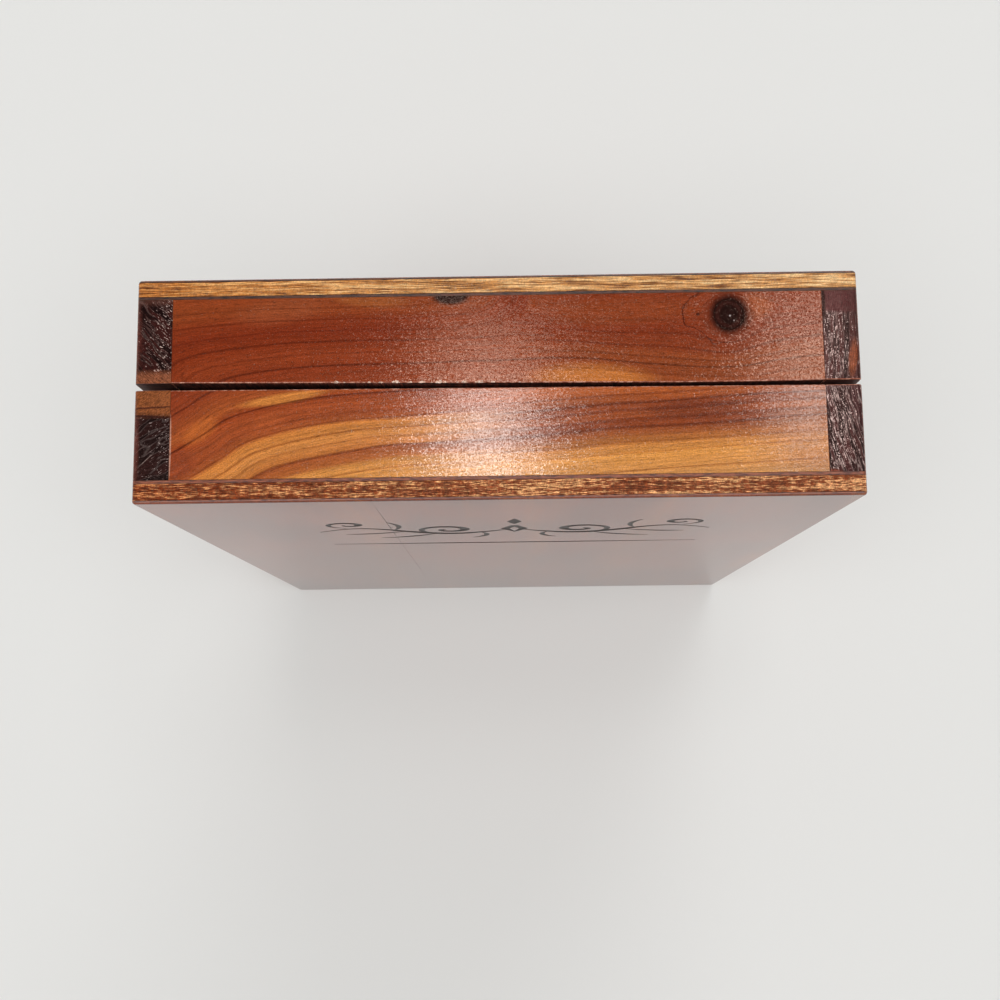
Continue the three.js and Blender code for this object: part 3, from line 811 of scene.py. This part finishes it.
def end_grain_material(name, look):
    """Sealed end grain: it drank the varnish and went near black, with painted glints on its ridges.
    """
    material, tree, (x, y, z) = solid_material(f"sealed_end_grain_{name}")
    place = add_node(tree, JOIN, links=(x, y, z))
    sway = clouds(tree, (x, y, z), (5.0, 7.0, 5.0), 1.0, 7)
    swayed = add_node(tree, VECTOR, TIMES_PLUS, (
        sway.outputs["Color"], (look["sway"], look["sway"], 0.0), place,
    ))
    length, width = look["strokes"]
    slanted = add_node(tree, MAPPING, {"vector_type": "TEXTURE"}, {
        "Vector": swayed, "Rotation": (0.0, 0.0, math.radians(look["slant"])),
    })
    slanted_parts = add_node(tree, SPLIT, links=(slanted,))
    run, step = slanted_parts.outputs[0], slanted_parts.outputs[1]
    ridges = clouds(tree, (run, step, z), (length, width, 1.0), 1.0, 11)
    bands = clouds(tree, (run, step, z), (9.0, look["band"], 4.0), 1.0, 5)
    colour = add_node(tree, RAMP, {"stops": [(0.38, look["dark"]), (0.62, look["mid"])]}, (bands,))
    colour = stained(tree, colour, x, y, look["under"])
    specks = speck_colours(tree, (x, y, z), 0.3)
    broken = add_node(tree, MATH, TIMES_PLUS, (specks, 0.36, ridges))
    gathered = add_node(tree, RANGE, links=(x, *look["gather"], 0.26, 0.13))
    lifted = add_node(tree, MATH, MINUS, (broken, gathered))
    coverage = look["coverage"]
    glints = add_node(tree, RANGE, links=(lifted, coverage, coverage + 0.13, 0.0, 1.0))
    from_ring = add_node(tree, MATH, MINUS, (bands, 0.5))
    ring_reach = add_node(tree, MATH, UNSIGNED, (from_ring,))
    ring_lines = add_node(tree, RANGE, links=(ring_reach, 0.03, 0.008, 0.0, look["lines"]))
    glints = add_node(tree, MATH, LARGER, (glints, ring_lines))
    # Painted highlights: where specks and ring lines glint, the colour turns to the pale sheen
    colour = add_node(tree, MIX, COLOURS, (glints, colour, linear(look["painted_sheen"])))
    colour = stained(tree, colour, x, y, look["over"])
    groove_shade = add_node(tree, RANGE, links=(lifted, 0.3, 0.7, 0.4, 1.15))
    shaded = add_node(tree, VECTOR, SCALED, (colour, groove_shade))
    looks = {"Roughness": 0.16, "IOR": 1.45, "Specular Tint": linear(END_TONE)}
    surfaced(tree, shaded, looks, lifted, 0.015, specks, 1.5)
    return material


def veneer_material(wood, name, centre, arch, calm, relief, seed):
    """Varnished cedar veneer: its grain runs the box's height, arched where it was sawn flat.

    arch is how fast the rings climb with height: 0 gives straight grain. calm is how much of
    its figure is lost to one even red-brown, and how much painted shade darkens it towards its
    foot.
    """
    material, tree, (x, y, z) = solid_material(f"varnished_veneer_{name}")
    sway = clouds(tree, (x, y, z), (90.0, 50.0, 120.0), 1.0, seed)
    swayed = add_node(tree, MATH, TIMES_PLUS, (sway, 16.0, x))
    off_centre = add_node(tree, MATH, MINUS, (swayed, centre + 8.0))
    bowed = add_node(tree, JOIN, links=(off_centre, 26.0))
    bow = add_node(tree, VECTOR, LENGTH, (bowed,))
    rings = add_node(tree, MATH, TIMES_PLUS, (z, arch, bow))
    spacing = wood.ring_spacing * PER_MM * VENEER_WIDENING
    figured = ring_colour(tree, wood, rings, z, y, spacing, seed)
    colour = add_node(tree, MIX, COLOURS, (calm, figured, wood.heartwood))
    blotches = clouds(tree, (x, y, z), (34.0, 30.0, 38.0), 2.0, 87)
    blotch_shade = add_node(tree, RANGE, links=(blotches, 0.35, 0.65, 0.72, 1.16))
    # Painted shade: the veneer darkens towards its foot, standing for the shadowed floor mirrored in
    # its varnish
    painted_foot_shade = add_node(tree, RANGE, links=(z, 0.0, PAINTED_FOOT_SHADE_REACH, 1.0 - 0.6 * calm, 1.0))
    blotched_and_painted_shade = add_node(tree, MATH, TIMES, (blotch_shade, painted_foot_shade))
    colour = add_node(tree, VECTOR, SCALED, (colour, blotched_and_painted_shade))
    if calm > 0.5:
        colour = stained(tree, colour, x, z, FACE_SMUDGES)
    marks = fibre_marks(tree, z, x, y, seed, 1.0 - calm)
    varnished(tree, colour, marks, (x, y, z), relief)
    return material


def veneer_edge_material(name, dark, mid):
    """The thin veneer's edge, soaked dark with varnish."""
    material, tree, (x, y, z) = solid_material(f"veneer_edge_{name}")
    bands = clouds(tree, (x, y, z), (2.0, 0.35, 0.35), 2.0, 41)
    colour = add_node(tree, RAMP, {"stops": [(0.35, dark), (0.6, mid)]}, (bands,))
    surfaced(tree, colour, {"Roughness": 0.32, "IOR": 1.5}, bands, 0.05)
    return material


def core_material(name, look):
    """The panel's middle ply, its grain across the box: streaked, open-pored, varnished."""
    material, tree, (x, y, z) = solid_material(f"panel_core_{name}")
    seed = look["seed"]
    wander = clouds(tree, (x, y, z), (24.0, 6.0, 20.0), 1.0, seed + 1)
    level = add_node(tree, MATH, TIMES_PLUS, (wander, 1.4, y))
    length, width = look["dashes"]
    dashes = clouds(tree, (x, level, z), (length, width, 2.0), 2.0, seed)
    broad = clouds(tree, (x, level, z), (26.0, 1.2, 9.0), 1.0, seed + 4)
    mixed = add_node(tree, MATH, TIMES_PLUS, (broad, 0.5, dashes))
    centred = add_node(tree, MATH, MINUS, (mixed, 0.25))
    dark, mid, pale = look["colours"]
    colour = add_node(tree, RAMP, {"stops": [
        (0.36, dark), (0.46, mid), (0.53, mid), (0.62, pale),
    ]}, (centred,))
    rays = clouds(tree, (x, y, z), (1.1, 4.0, 4.0), 1.0, seed + 11)
    ray_shade = add_node(tree, RANGE, links=(
        rays, 0.35, 0.65, 1.0 - look["rays"], 1.0 + 0.6 * look["rays"],
    ))
    colour = add_node(tree, VECTOR, SCALED, (colour, ray_shade))
    way_across = add_node(tree, RANGE, links=(x, -95.0, 95.0))
    tint = add_node(tree, RAMP, {"stops": look["tints"]}, (way_across,))
    tinted = add_node(tree, MIX, TINTED, (1.0, colour, tint))
    pores = clouds(tree, (x, level, z), (3.6, 0.2, 0.6), 1.0, seed + 2)
    pore_shade = add_node(tree, RANGE, links=(pores, 0.54, 0.64, 1.05, 0.52))
    grits = speck_colours(tree, (x, y, z), 0.32)
    grit_shade = add_node(tree, RANGE, links=(
        grits, 0.2, 0.8, 1.0 - look["grit"], 1.0 + look["grit"],
    ))
    all_shade = add_node(tree, MATH, TIMES, (pore_shade, grit_shade))
    shaded = add_node(tree, VECTOR, SCALED, (tinted, all_shade))
    looks = {"Roughness": 0.19, "IOR": 1.4, "Specular Tint": linear(look["amber"])}
    surfaced(tree, shaded, looks, pore_shade, 0.02, grits, 3.0)
    return material


# The panels' cores. colours are those of its streaks and dashes their length and width, grit
# and rays how much its specks and its rays shade it, tints its colour along X, and amber the
# tone of what it mirrors.
CORES = {
    "base": {
        "colours": ("#683a18", "#c58d54", "#eec894"), "amber": "#fff0e2", "seed": 3,
        "dashes": (9.0, 0.28), "grit": 0.2, "rays": 0.08,
        "tints": [(0.0, "#eecb9e"), (0.4, "#fdf2e2"), (1.0, "#fffaf2")],
    },
    "lid": {
        "colours": ("#56240f", "#87492a", "#e8bc86"), "amber": "#ffc4a0", "seed": 6,
        "dashes": (2.4, 0.28), "grit": 0.34, "rays": 0.25,
        "tints": [(0.0, "#e6b8a2"), (0.3, "#f4dccc"), (0.75, "#fdeae0"), (1.0, "#f4dcd4")],
    },
}


def brass_material(brass):
    """Cheap stamped brass, lacquered and dulled: warm, with brown in the hollows."""
    material, tree, (x, y, z) = solid_material("aged_brass")
    stains = clouds(tree, (x, y, z), (5.0, 5.0, 5.0), 3.0, 51)
    share = add_node(tree, RANGE, SMOOTH, (stains, 0.45, 0.75, 0.0, 0.7))
    colour = add_node(tree, MIX, COLOURS, (share, brass.polished, brass.tarnished))
    scratches = clouds(tree, (x, y, z), (1.5, 1.5, 0.12), 2.0, 53)
    roughness = add_node(tree, RANGE, links=(stains, 0.3, 0.75, 0.22, 0.5))
    surfaced(tree, colour, {"Metallic": 1.0, "Roughness": roughness}, scratches, 0.006)
    return material


def materials_by_name(context):
    """Makes every material of the wood once."""
    wood = context.scene.cedar_box_wood
    # The sawn rims are dark with varnish, and darker still as painted shade for the gap between lid
    # and base
    sawn = [(0.36, "#27100a"), (0.5, "#461d13"), (0.64, "#602e20")]
    torn = [(0.35, "#c98a6c"), (0.5, "#efc9b2"), (0.65, "#fdeadd")]
    # The worn arrises are paler than the wood beside them, as worn wood and as a painted highlight
    # along the rims' edges
    worn = [(0.38, "#7c3d28"), (0.5, "#a4614a"), (0.62, "#c58d77")]
    burnt = [(0.35, "#17100d"), (0.65, "#33241c")]
    made = {
        "base_head_board": base_head_material(),
        "lid_head_board": lid_head_material(),
        "base_panel_face_ply": veneer_material(wood, "back", 10.0, 0.11, 0.1, BACK_RELIEF, 89),
        "lid_face_ply_spine_side": veneer_material(
            wood, "front_left", -90.0, 0.02, 0.6, FACE_RELIEF, 97
        ),
        "lid_face_ply_fore_side": veneer_material(
            wood, "front_right", 140.0, 0.03, 0.6, FACE_RELIEF, 101
        ),
        "base_edge": veneer_edge_material("base", "#1c0a06", "#58301f"),
        "lid_edge": veneer_edge_material("lid", "#4a1c10", "#8f4c2e"),
        "bare": bare_material(wood, "long", "Z", (10.0, 60.0)),
        "bare_across": bare_material(wood, "short", "X", (130.0, 60.0)),
        "sawn_painted_shade_along": raw_material("sawn_rim_long_painted_shade", sawn, (6.0, 3.0, 0.7), 43),
        "sawn_painted_shade_across": raw_material("sawn_rim_short_painted_shade", sawn, (0.7, 3.0, 6.0), 45),
        "torn": raw_material("torn_cedar", torn, (0.5, 0.3, 0.3), 47, 0.5),
        "worn": raw_material("worn_arris_painted_highlight", worn, (1.2, 1.2, 1.2), 49, 0.35),
        "burnt": raw_material("burnt_groove", burnt, (0.5, 0.5, 0.5), 55, 0.45),
    }
    for board, (grain, pith, seed) in PLAIN_BOARDS.items():
        made[board] = board_material(wood, board, grain, pith, seed)
    for name, look in CORES.items():
        made[f"{name}_core"] = core_material(name, look)
    for name, look in END_GRAIN.items():
        made[f"{name}_end"] = end_grain_material(name, look)
    return made


# Shapes


def mesh_of(shape, name, materials=()):
    """Makes a shape a mesh with the named materials."""
    mesh = bpy.data.meshes.new(name)
    for material in materials:
        mesh.materials.append(MATERIALS[material])
    shape.to_mesh(mesh)
    shape.free()
    return mesh


def added(name, data):
    """Adds an object to the scene."""
    thing = bpy.data.objects.new(name, data)
    bpy.context.scene.collection.objects.link(thing)
    return thing


def even_normals(piece):
    """Shades flat faces evenly, and turns the shading on the bevels between them."""
    normals = piece.modifiers.new("Even normals", "WEIGHTED_NORMAL")
    normals.keep_sharp = True


def merged_copy(node):
    """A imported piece's shape with its loose triangles joined into whole faces."""
    shape = bmesh.new()
    shape.from_mesh(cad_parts[node].data)
    bmesh.ops.remove_doubles(shape, verts=shape.verts, dist=WELD)
    bmesh.ops.dissolve_limit(shape, angle_limit=FLAT_ANGLE, verts=shape.verts, edges=shape.edges)
    return shape


def bevelled(shape, edges, width, segments):
    """Rounds edges, and returns the new faces."""
    made = bmesh.ops.bevel(
        shape, geom=edges, offset=width, offset_type="OFFSET", affect="EDGES",
        segments=segments, profile=0.5, material=-1, clamp_overlap=True,
    )
    return made["faces"]


def sharp_edges(shape):
    """The edges between faces that meet at more than a slight angle."""
    return [edge for edge in shape.edges if edge.calc_face_angle(0.0) > ARRIS_ANGLE]


def rim_edges(shape, node):
    """The sharp edges of a frame board that lie along the saw cut."""
    low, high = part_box(node)
    rim = low.y if node.startswith("base") else high.y
    return [
        edge for edge in sharp_edges(shape)
        if all(abs(vertex.co.y - rim) < RIM_REACH for vertex in edge.verts)
    ]


def corner_edges(shape):
    """A long board's or core's sharp edges at the box's four corners, which run along Y."""
    low, high = CAD_BOUNDS
    found = []
    for edge in sharp_edges(shape):
        start, end = (vertex.co for vertex in edge.verts)
        along_y = abs(end.y - start.y) > ALONG_SHARE * (end - start).length
        at_side = min(abs(abs(start.x) - HALF_WIDTH), abs(abs(end.x) - HALF_WIDTH)) < NEAR
        at_end = min(start.z - low[2], high[2] - start.z) < NEAR
        if along_y and at_side and at_end:
            found.append(edge)
    return found


def cut_from(blank, cutter):
    """Cuts a closed shape out of a piece for good."""
    cut = blank.modifiers.new("Cut", "BOOLEAN")
    cut.operation = "DIFFERENCE"
    cut.solver = "EXACT"
    cut.use_self = True
    cut.object = cutter
    whole = blank.data
    graph = bpy.context.evaluated_depsgraph_get()
    result = bpy.data.meshes.new_from_object(blank.evaluated_get(graph))
    blank.modifiers.remove(cut)
    blank.data = result
    bpy.data.meshes.remove(whole)


def finish_piece(shape, node, body, materials, finish_of=None, cutter=None):
    """Makes a shape the finished piece that stands for a packed one.

    finish_of names a face's material. A cut's faces take the last of the materials.
    """
    for face in shape.faces:
        face.smooth = True
        if finish_of:
            face.material_index = materials.index(finish_of(face))
    piece = added(FINISHED + node, mesh_of(shape, FINISHED + node, materials))
    if cutter:
        for polygon in cutter.data.polygons:
            polygon.material_index = len(materials) - 1
            polygon.use_smooth = True
        cut_from(piece, cutter)
        piece.data.name = FINISHED + node
    piece.data.set_sharp_from_angle(angle=CREASE_ANGLE)
    even_normals(piece)
    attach(piece, body)
    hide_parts(node)


def board_finishes(node, worn, sawn, inside, inward, end=None):
    """Gives the function that names the finish of a frame board's faces.

    worn holds the bevels' faces, pale as worn wood and as a painted highlight. sawn names the
    rims' finish, dark partly as painted shade, and inward points to the middle of the box.
    """

    def finish_of(face):
        if face in worn:
            return "worn"
        if abs(face.normal.y) > FACING:
            return sawn
        if end and abs(face.normal.z) > FACING:
            return end
        return inside if face.normal.dot(inward) > FACING else node

    return finish_of


def rim_chips(rim):
    """The bites that the saw tore out of the base's head board, as one cutting shape.

    rim holds the vertices along the saw cut's outer edge.
    """
    chance = random.Random(CHIP_SEED)
    line = sorted((vertex.co.x, vertex.co.y, vertex.co.z) for vertex in rim)
    chips = [(place, 1.0) for place in LARGE_CHIPS]
    chips += [(place, MIDDLE_SHARE) for place in MIDDLE_CHIPS]
    chips += [
        (chance.uniform(*SMALL_CHIPS_REACH), chance.uniform(*SMALL_SHARES))
        for _ in range(SMALL_CHIPS)
    ]
    shape = bmesh.new()
    for place, share_of_size in chips:
        x = place * MM
        after = next(i for i, point in enumerate(line) if point[0] > x)
        before, past = line[after - 1], line[after]
        share = (x - before[0]) / (past[0] - before[0])
        y = before[1] + share * (past[1] - before[1])
        size = share_of_size * CHIP_SIZE
        made = bmesh.ops.create_icosphere(shape, subdivisions=1, radius=0.5)
        for vertex in made["verts"]:
            vertex.co *= chance.uniform(*CHIP_UNEVENNESS)
            vertex.co = vertex.co * CHIP_STRETCH * size + Vector((x, y, line[0][2]))
    return added("chips", mesh_of(shape, "chips"))


def scroll(middle, start, end, first_angle, turns, width):
    """Points of a spiral stroke that thins to its ends: X, Z and half width in millimetres."""
    points = []
    for step in range(SCROLL_STEPS + 1):
        share = step / SCROLL_STEPS
        angle = math.radians(first_angle) + share * turns * math.tau
        reach = start + (end - start) * share
        thickness = width * (0.3 + 0.7 * math.sin(math.pi * share))
        points.append((
            middle[0] + reach * math.cos(angle), middle[1] + reach * math.sin(angle), thickness
        ))
    return points


def flourish_strokes():
    """The ornament on the lid's face: a mirrored pair of leafy scrolls above a ruled line."""
    stem = [(3.0, -2.0, 0.25), (10.0, -7.5, 0.6), (20.0, -10.5, 0.85), (31.0, -5.0, 0.75),
            (40.0, 3.0, 0.5), (50.0, 5.5, 0.35), (59.0, -3.0, 0.2)]
    leaves = [
        [(24.0, -9.0, 0.15), (31.0, -17.0, 0.85), (42.0, -18.5, 0.15)],
        [(33.0, -3.5, 0.15), (43.0, -9.5, 0.8), (52.0, -9.0, 0.15)],
        [(10.0, -7.5, 0.15), (6.0, -15.0, 0.75), (13.0, -20.0, 0.15)],
        [(36.0, 0.5, 0.15), (32.0, 9.0, 0.7), (37.0, 17.0, 0.15)],
    ]
    right = [
        stem, *leaves,
        scroll((20.0, -0.5), 9.8, 1.2, -85.0, 1.4, 0.75),
        scroll((49.0, 12.0), 6.8, 1.0, -80.0, 1.25, 0.6),
    ]
    left = [[(-x, z, width) for x, z, width in stroke] for stroke in right]
    lozenge = [(0.0, 7.5, 0.5), (2.8, 0.5, 0.7), (0.0, -6.5, 0.5), (-2.8, 0.5, 0.7), (0.0, 7.5, 0.5)]
    bud = [(0.0, 11.0, 0.2), (0.0, 16.0, 1.1), (0.0, 22.0, 0.15)]
    rule = [(-59.0, RULE_DROP, 0.2), (-20.0, RULE_DROP, 0.55), (20.0, RULE_DROP, 0.55),
            (59.0, RULE_DROP, 0.2)]
    return right + left, [lozenge, bud, rule]


def flourish_cutter():
    """Shallow grooves along the ornament's strokes, as one cutting shape."""
    curve = bpy.data.curves.new("strokes", "CURVE")
    curve.dimensions = "3D"
    curve.bevel_depth = MM
    curve.bevel_resolution = 2
    curve.resolution_u = 6
    curve.use_fill_caps = True
    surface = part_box("lid_face_ply_fore_side")[0].y - GROOVE_LIFT
    smooth_strokes, straight_strokes = flourish_strokes()
    for strokes, kind in ((smooth_strokes, "NURBS"), (straight_strokes, "POLY")):
        for stroke in strokes:
            spline = curve.splines.new(kind)
            spline.points.add(len(stroke) - 1)
            for point, (x, z, half_width) in zip(spline.points, stroke):
                place = (x + ORNAMENT_MIDDLE[0], z + ORNAMENT_MIDDLE[1])
                point.co = (place[0] * MM, surface, place[1] * MM, 1.0)
                point.radius = half_width * STROKE_BOLDNESS
            if kind == "NURBS":
                spline.order_u = 3
                spline.use_endpoint_u = True
    drawn = added("strokes", curve)
    graph = bpy.context.evaluated_depsgraph_get()
    mesh = bpy.data.meshes.new_from_object(drawn.evaluated_get(graph))
    mesh.materials.clear()
    for vertex in mesh.vertices:
        vertex.co.y = surface + (vertex.co.y - surface) * GROOVE_DEPTH_SHARE
    bpy.data.objects.remove(drawn)
    return added("strokes", mesh)


class CEDARBOX_OT_materials(bpy.types.Operator):
    """Makes the varnished cedar, end grain, veneers and panel cores."""

    bl_idname = "cedarbox.materials"
    bl_label = "Wood finishes"

    def execute(self, context):
        MATERIALS.update(materials_by_name(context))
        return {"FINISHED"}


class CEDARBOX_OT_long_boards(bpy.types.Operator):
    """Finishes the spine and fore-edge boards: end grain, bare inside, sawn rims."""

    bl_idname = "cedarbox.long_boards"
    bl_label = "Spine and fore-edge boards"

    def execute(self, context):
        wood = context.scene.cedar_box_wood
        for body, nodes in LONG_BOARDS.items():
            for node in nodes:
                shape = merged_copy(node)
                bevelled(shape, corner_edges(shape), wood.corner_round, CORNER_STEPS)
                rim = rim_edges(shape, node)
                # The rims' bevels take the worn finish: worn wood with a painted highlight
                worn = set(bevelled(shape, rim, wood.rim_bevel, RIM_STEPS))
                inward = Vector((1 if "spine" in node else -1, 0, 0))
                end = f"{node}_end"
                finish_piece(
                    shape, node, body, [node, end, "bare", "sawn_painted_shade_along", "worn"],
                    board_finishes(node, worn, "sawn_painted_shade_along", "bare", inward, end),
                )
        return {"FINISHED"}


class CEDARBOX_OT_short_boards(bpy.types.Operator):
    """Finishes the head and foot boards, and chips the head's rim."""

    bl_idname = "cedarbox.short_boards"
    bl_label = "Head and foot boards"

    def execute(self, context):
        wood = context.scene.cedar_box_wood
        for body, nodes in SHORT_BOARDS.items():
            for node in nodes:
                shape = merged_copy(node)
                rim = rim_edges(shape, node)
                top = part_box(node)[1].z
                outer = {v for e in rim for v in e.verts if v.co.z > top - NEAR}
                cutter = rim_chips(outer) if node == CHIPPED_BOARD else None
                # The rims' bevels take the worn finish: worn wood with a painted highlight
                worn = set(bevelled(shape, rim, wood.rim_bevel, RIM_STEPS))
                inward = Vector((0, 0, -1 if "head" in node else 1))
                finish_piece(
                    shape, node, body,
                    [node, "bare_across", "sawn_painted_shade_across", "worn", "torn"],
                    board_finishes(node, worn, "sawn_painted_shade_across", "bare_across", inward), cutter,
                )
                if cutter:
                    bpy.data.objects.remove(cutter)
        return {"FINISHED"}


class CEDARBOX_OT_panels(bpy.types.Operator):
    """Finishes the two plywood panels, ply by ply, and cuts the ornament into the lid's."""

    bl_idname = "cedarbox.panels"
    bl_label = "Panels"

    def execute(self, context):
        wood = context.scene.cedar_box_wood
        strokes = flourish_cutter()
        for body, outward in (("base", 1), ("lid", -1)):
            edge = f"{body}_edge"
            for node in FACE_PLIES[body]:

                def face_finish(face):
                    outer = face.normal.y * outward > PLY_FACING
                    return node if outer or abs(face.normal.x) > FACING else edge

                finish_piece(
                    merged_copy(node), node, body, [node, edge, "burnt"],
                    face_finish, strokes if body == "lid" else None,
                )
            node = f"{body}_panel_inner_ply"

            def inner_finish(face):
                return "bare" if face.normal.y * outward < -FACING else edge

            finish_piece(
                merged_copy(node), node, body, [edge, "bare"], inner_finish
            )
            node = f"{body}_panel_core"
            core = merged_copy(node)
            bevelled(core, corner_edges(core), wood.corner_round, CORNER_STEPS)
            finish_piece(core, node, body, [f"{body}_core"])
        bpy.data.objects.remove(strokes)
        return {"FINISHED"}


class CEDARBOX_OT_hardware(bpy.types.Operator):
    """Gives the hinges, screws and latch soft edges and aged brass."""

    bl_idname = "cedarbox.hardware"
    bl_label = "Hinges and latch"

    def execute(self, context):
        brass = context.scene.cedar_box_brass
        aged = brass_material(brass)
        for name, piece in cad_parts.items():
            if not name.startswith(("hinge_", "latch_")):
                continue
            piece.data.materials.clear()
            piece.data.materials.append(aged)
            weld = piece.modifiers.new("Weld", "WELD")
            weld.merge_threshold = WELD
            soft = piece.modifiers.new("Soft edges", "BEVEL")
            soft.width = brass.edge_bevel
            soft.segments = RIM_STEPS
            soft.limit_method = "ANGLE"
            soft.angle_limit = ARRIS_ANGLE
            even_normals(piece)
        return {"FINISHED"}


# Stage. The head's two glare patches are two lamps on the ceiling, mirrored in the varnish.
# Each lamp is drawn as a bright pane and a dimmer one. Places and sizes are in metres.
CAMERA_PLACE = (3.68 * MM, -80.95 * MM, 605.95 * MM)
CAMERA_AIM = (-0.00982, 0.14949, -0.98871)
CAMERA_RIGHT = (0.99987, -0.01150, -0.01167)
SENSOR_WIDTH = 36.0
NEAREST_SEEN = 10 * MM
WIDE_LAMP_ANGLE = math.radians(34)
WIDE_LAMPS = {
    "wide_lamp_front_left": {"from": (-0.28, -0.23, 0.93), "share": 1.0},
    "wide_lamp_front_right": {"from": (0.29, -0.21, 0.93), "share": 1.0},
    "wide_lamp_back": {"from": (0.20, 0.78, 0.59), "share": 0.62},
}
CEILING_LAMPS = {
    "ceiling_lamp_middle": {"place": (-0.034, 0.325, 2.0), "size": (0.132, 0.21), "power": 1.5},
    "ceiling_lamp_middle_far": {"place": (-0.022, 0.4975, 2.0), "size": (0.12, 0.08), "power": 0.16},
    "ceiling_lamp_right": {"place": (0.496, 0.5, 2.0), "size": (0.13, 0.16), "power": 0.72},
    "ceiling_lamp_right_near": {"place": (0.496, 0.36, 2.0), "size": (0.13, 0.12), "power": 0.34},
}
FLOOR_SIZE = 12.0
# How high up the world turns to the ceiling's light, as the sine of the height angle
CEILING_FROM = 0.8
CEILING_WHOLE = 0.93


def add_lamp(name, kind, place, direction, settings):
    """A plain lamp that faces along a direction."""
    lamp = bpy.data.lights.new(name, kind)
    for setting, value in settings.items():
        setattr(lamp, setting, value)
    holder = added(name, lamp)
    holder.location = place
    holder.rotation_euler = Vector(direction).to_track_quat("-Z", "Y").to_euler()
    holder.visible_camera = False


class CEDARBOX_OT_stage(bpy.types.Operator):
    """Sets the floor, the lamps, the world and the camera."""

    bl_idname = "cedarbox.stage"
    bl_label = "Floor, light and camera"

    def execute(self, context):
        stage = context.scene.cedar_box_stage
        ground = bmesh.new()
        bmesh.ops.create_grid(ground, x_segments=1, y_segments=1, size=FLOOR_SIZE / 2)
        floor = added("floor", mesh_of(ground, "floor"))
        material, tree = new_material("pale_matt_floor")
        surfaced(tree, stage.floor, {"Roughness": 0.9, "Specular IOR Level": 0.2})
        floor.data.materials.append(material)

        world = bpy.data.worlds.new("pale_room")
        world.use_nodes = True
        sky = world.node_tree
        sky.nodes.clear()
        direction = add_node(sky, "ShaderNodeTexCoord").outputs["Generated"]
        parts = add_node(sky, SPLIT, links=(direction,))
        up = add_node(sky, RANGE, SMOOTH, (parts.outputs[2], CEILING_FROM, CEILING_WHOLE))
        room = add_node(sky, MIX, COLOURS, (up, stage.floor, stage.ceiling))
        ray = add_node(sky, "ShaderNodeLightPath")
        seen = add_node(sky, MATH, LARGER, (
            ray.outputs["Is Camera Ray"], ray.outputs["Is Glossy Ray"],
        ))
        strength = add_node(sky, RANGE, links=(seen, 0.0, 1.0, stage.room_share))
        light = add_node(sky, "ShaderNodeBackground", links={"Color": room, "Strength": strength})
        add_node(sky, "ShaderNodeOutputWorld", links={"Surface": light})
        context.scene.world = world

        for name, lamp in WIDE_LAMPS.items():
            add_lamp(name, "SUN", lamp["from"], -Vector(lamp["from"]), {
                "angle": WIDE_LAMP_ANGLE, "energy": stage.lamp_strength * lamp["share"],
            })
        for name, lamp in CEILING_LAMPS.items():
            add_lamp(name, "AREA", lamp["place"], (0.0, 0.0, -1.0), {
                "shape": "RECTANGLE", "size": lamp["size"][0], "size_y": lamp["size"][1],
                "energy": lamp["power"],
            })

        eye = bpy.data.cameras.new("camera")
        eye.sensor_width = SENSOR_WIDTH
        eye.lens = stage.focal_length
        eye.clip_start = NEAREST_SEEN
        holder = added("camera", eye)
        aim = Vector(CAMERA_AIM).normalized()
        right = Vector(CAMERA_RIGHT)
        right = (right - right.dot(aim) * aim).normalized()
        up_axis = right.cross(aim)
        turn = Matrix((right, up_axis, -aim)).transposed().to_4x4()
        holder.matrix_world = Matrix.Translation(CAMERA_PLACE) @ turn
        context.scene.camera = holder
        context.scene.view_settings.view_transform = "Standard"
        return {"FINISHED"}


class CEDARBOX_PT_sidebar(bpy.types.Panel):
    """Lists the steps in the 3D view's sidebar."""

    bl_label = "Cedar Bible Box"
    bl_idname = "CEDARBOX_PT_sidebar"
    bl_space_type = "VIEW_3D"
    bl_region_type = "UI"
    bl_category = "Cedar Box"

    def draw(self, context):
        for group in PROPERTY_GROUPS:
            values = getattr(context.scene, group)
            column = self.layout.column()
            for name in values.__annotations__:
                column.prop(values, name)
        for step in STEPS:
            self.layout.operator(step.bl_idname)


STEPS = (
    CEDARBOX_OT_materials,
    CEDARBOX_OT_long_boards,
    CEDARBOX_OT_short_boards,
    CEDARBOX_OT_panels,
    CEDARBOX_OT_hardware,
    CEDARBOX_OT_stage,
)
PROPERTY_GROUPS = {
    "cedar_box_wood": CedarBoxWood,
    "cedar_box_brass": CedarBoxBrass,
    "cedar_box_stage": CedarBoxStage,
}


def register():
    for group, kind in PROPERTY_GROUPS.items():
        bpy.utils.register_class(kind)
        setattr(bpy.types.Scene, group, bpy.props.PointerProperty(type=kind))
    for kind in (*STEPS, CEDARBOX_PT_sidebar):
        bpy.utils.register_class(kind)


def unregister():
    for kind in reversed((*STEPS, CEDARBOX_PT_sidebar)):
        bpy.utils.unregister_class(kind)
    for group, kind in PROPERTY_GROUPS.items():
        delattr(bpy.types.Scene, group)
        bpy.utils.unregister_class(kind)


def main():
    register()
    for step in STEPS:
        family, name = step.bl_idname.split(".")
        getattr(getattr(bpy.ops, family), name)()


if __name__ == "__main__":
    main()
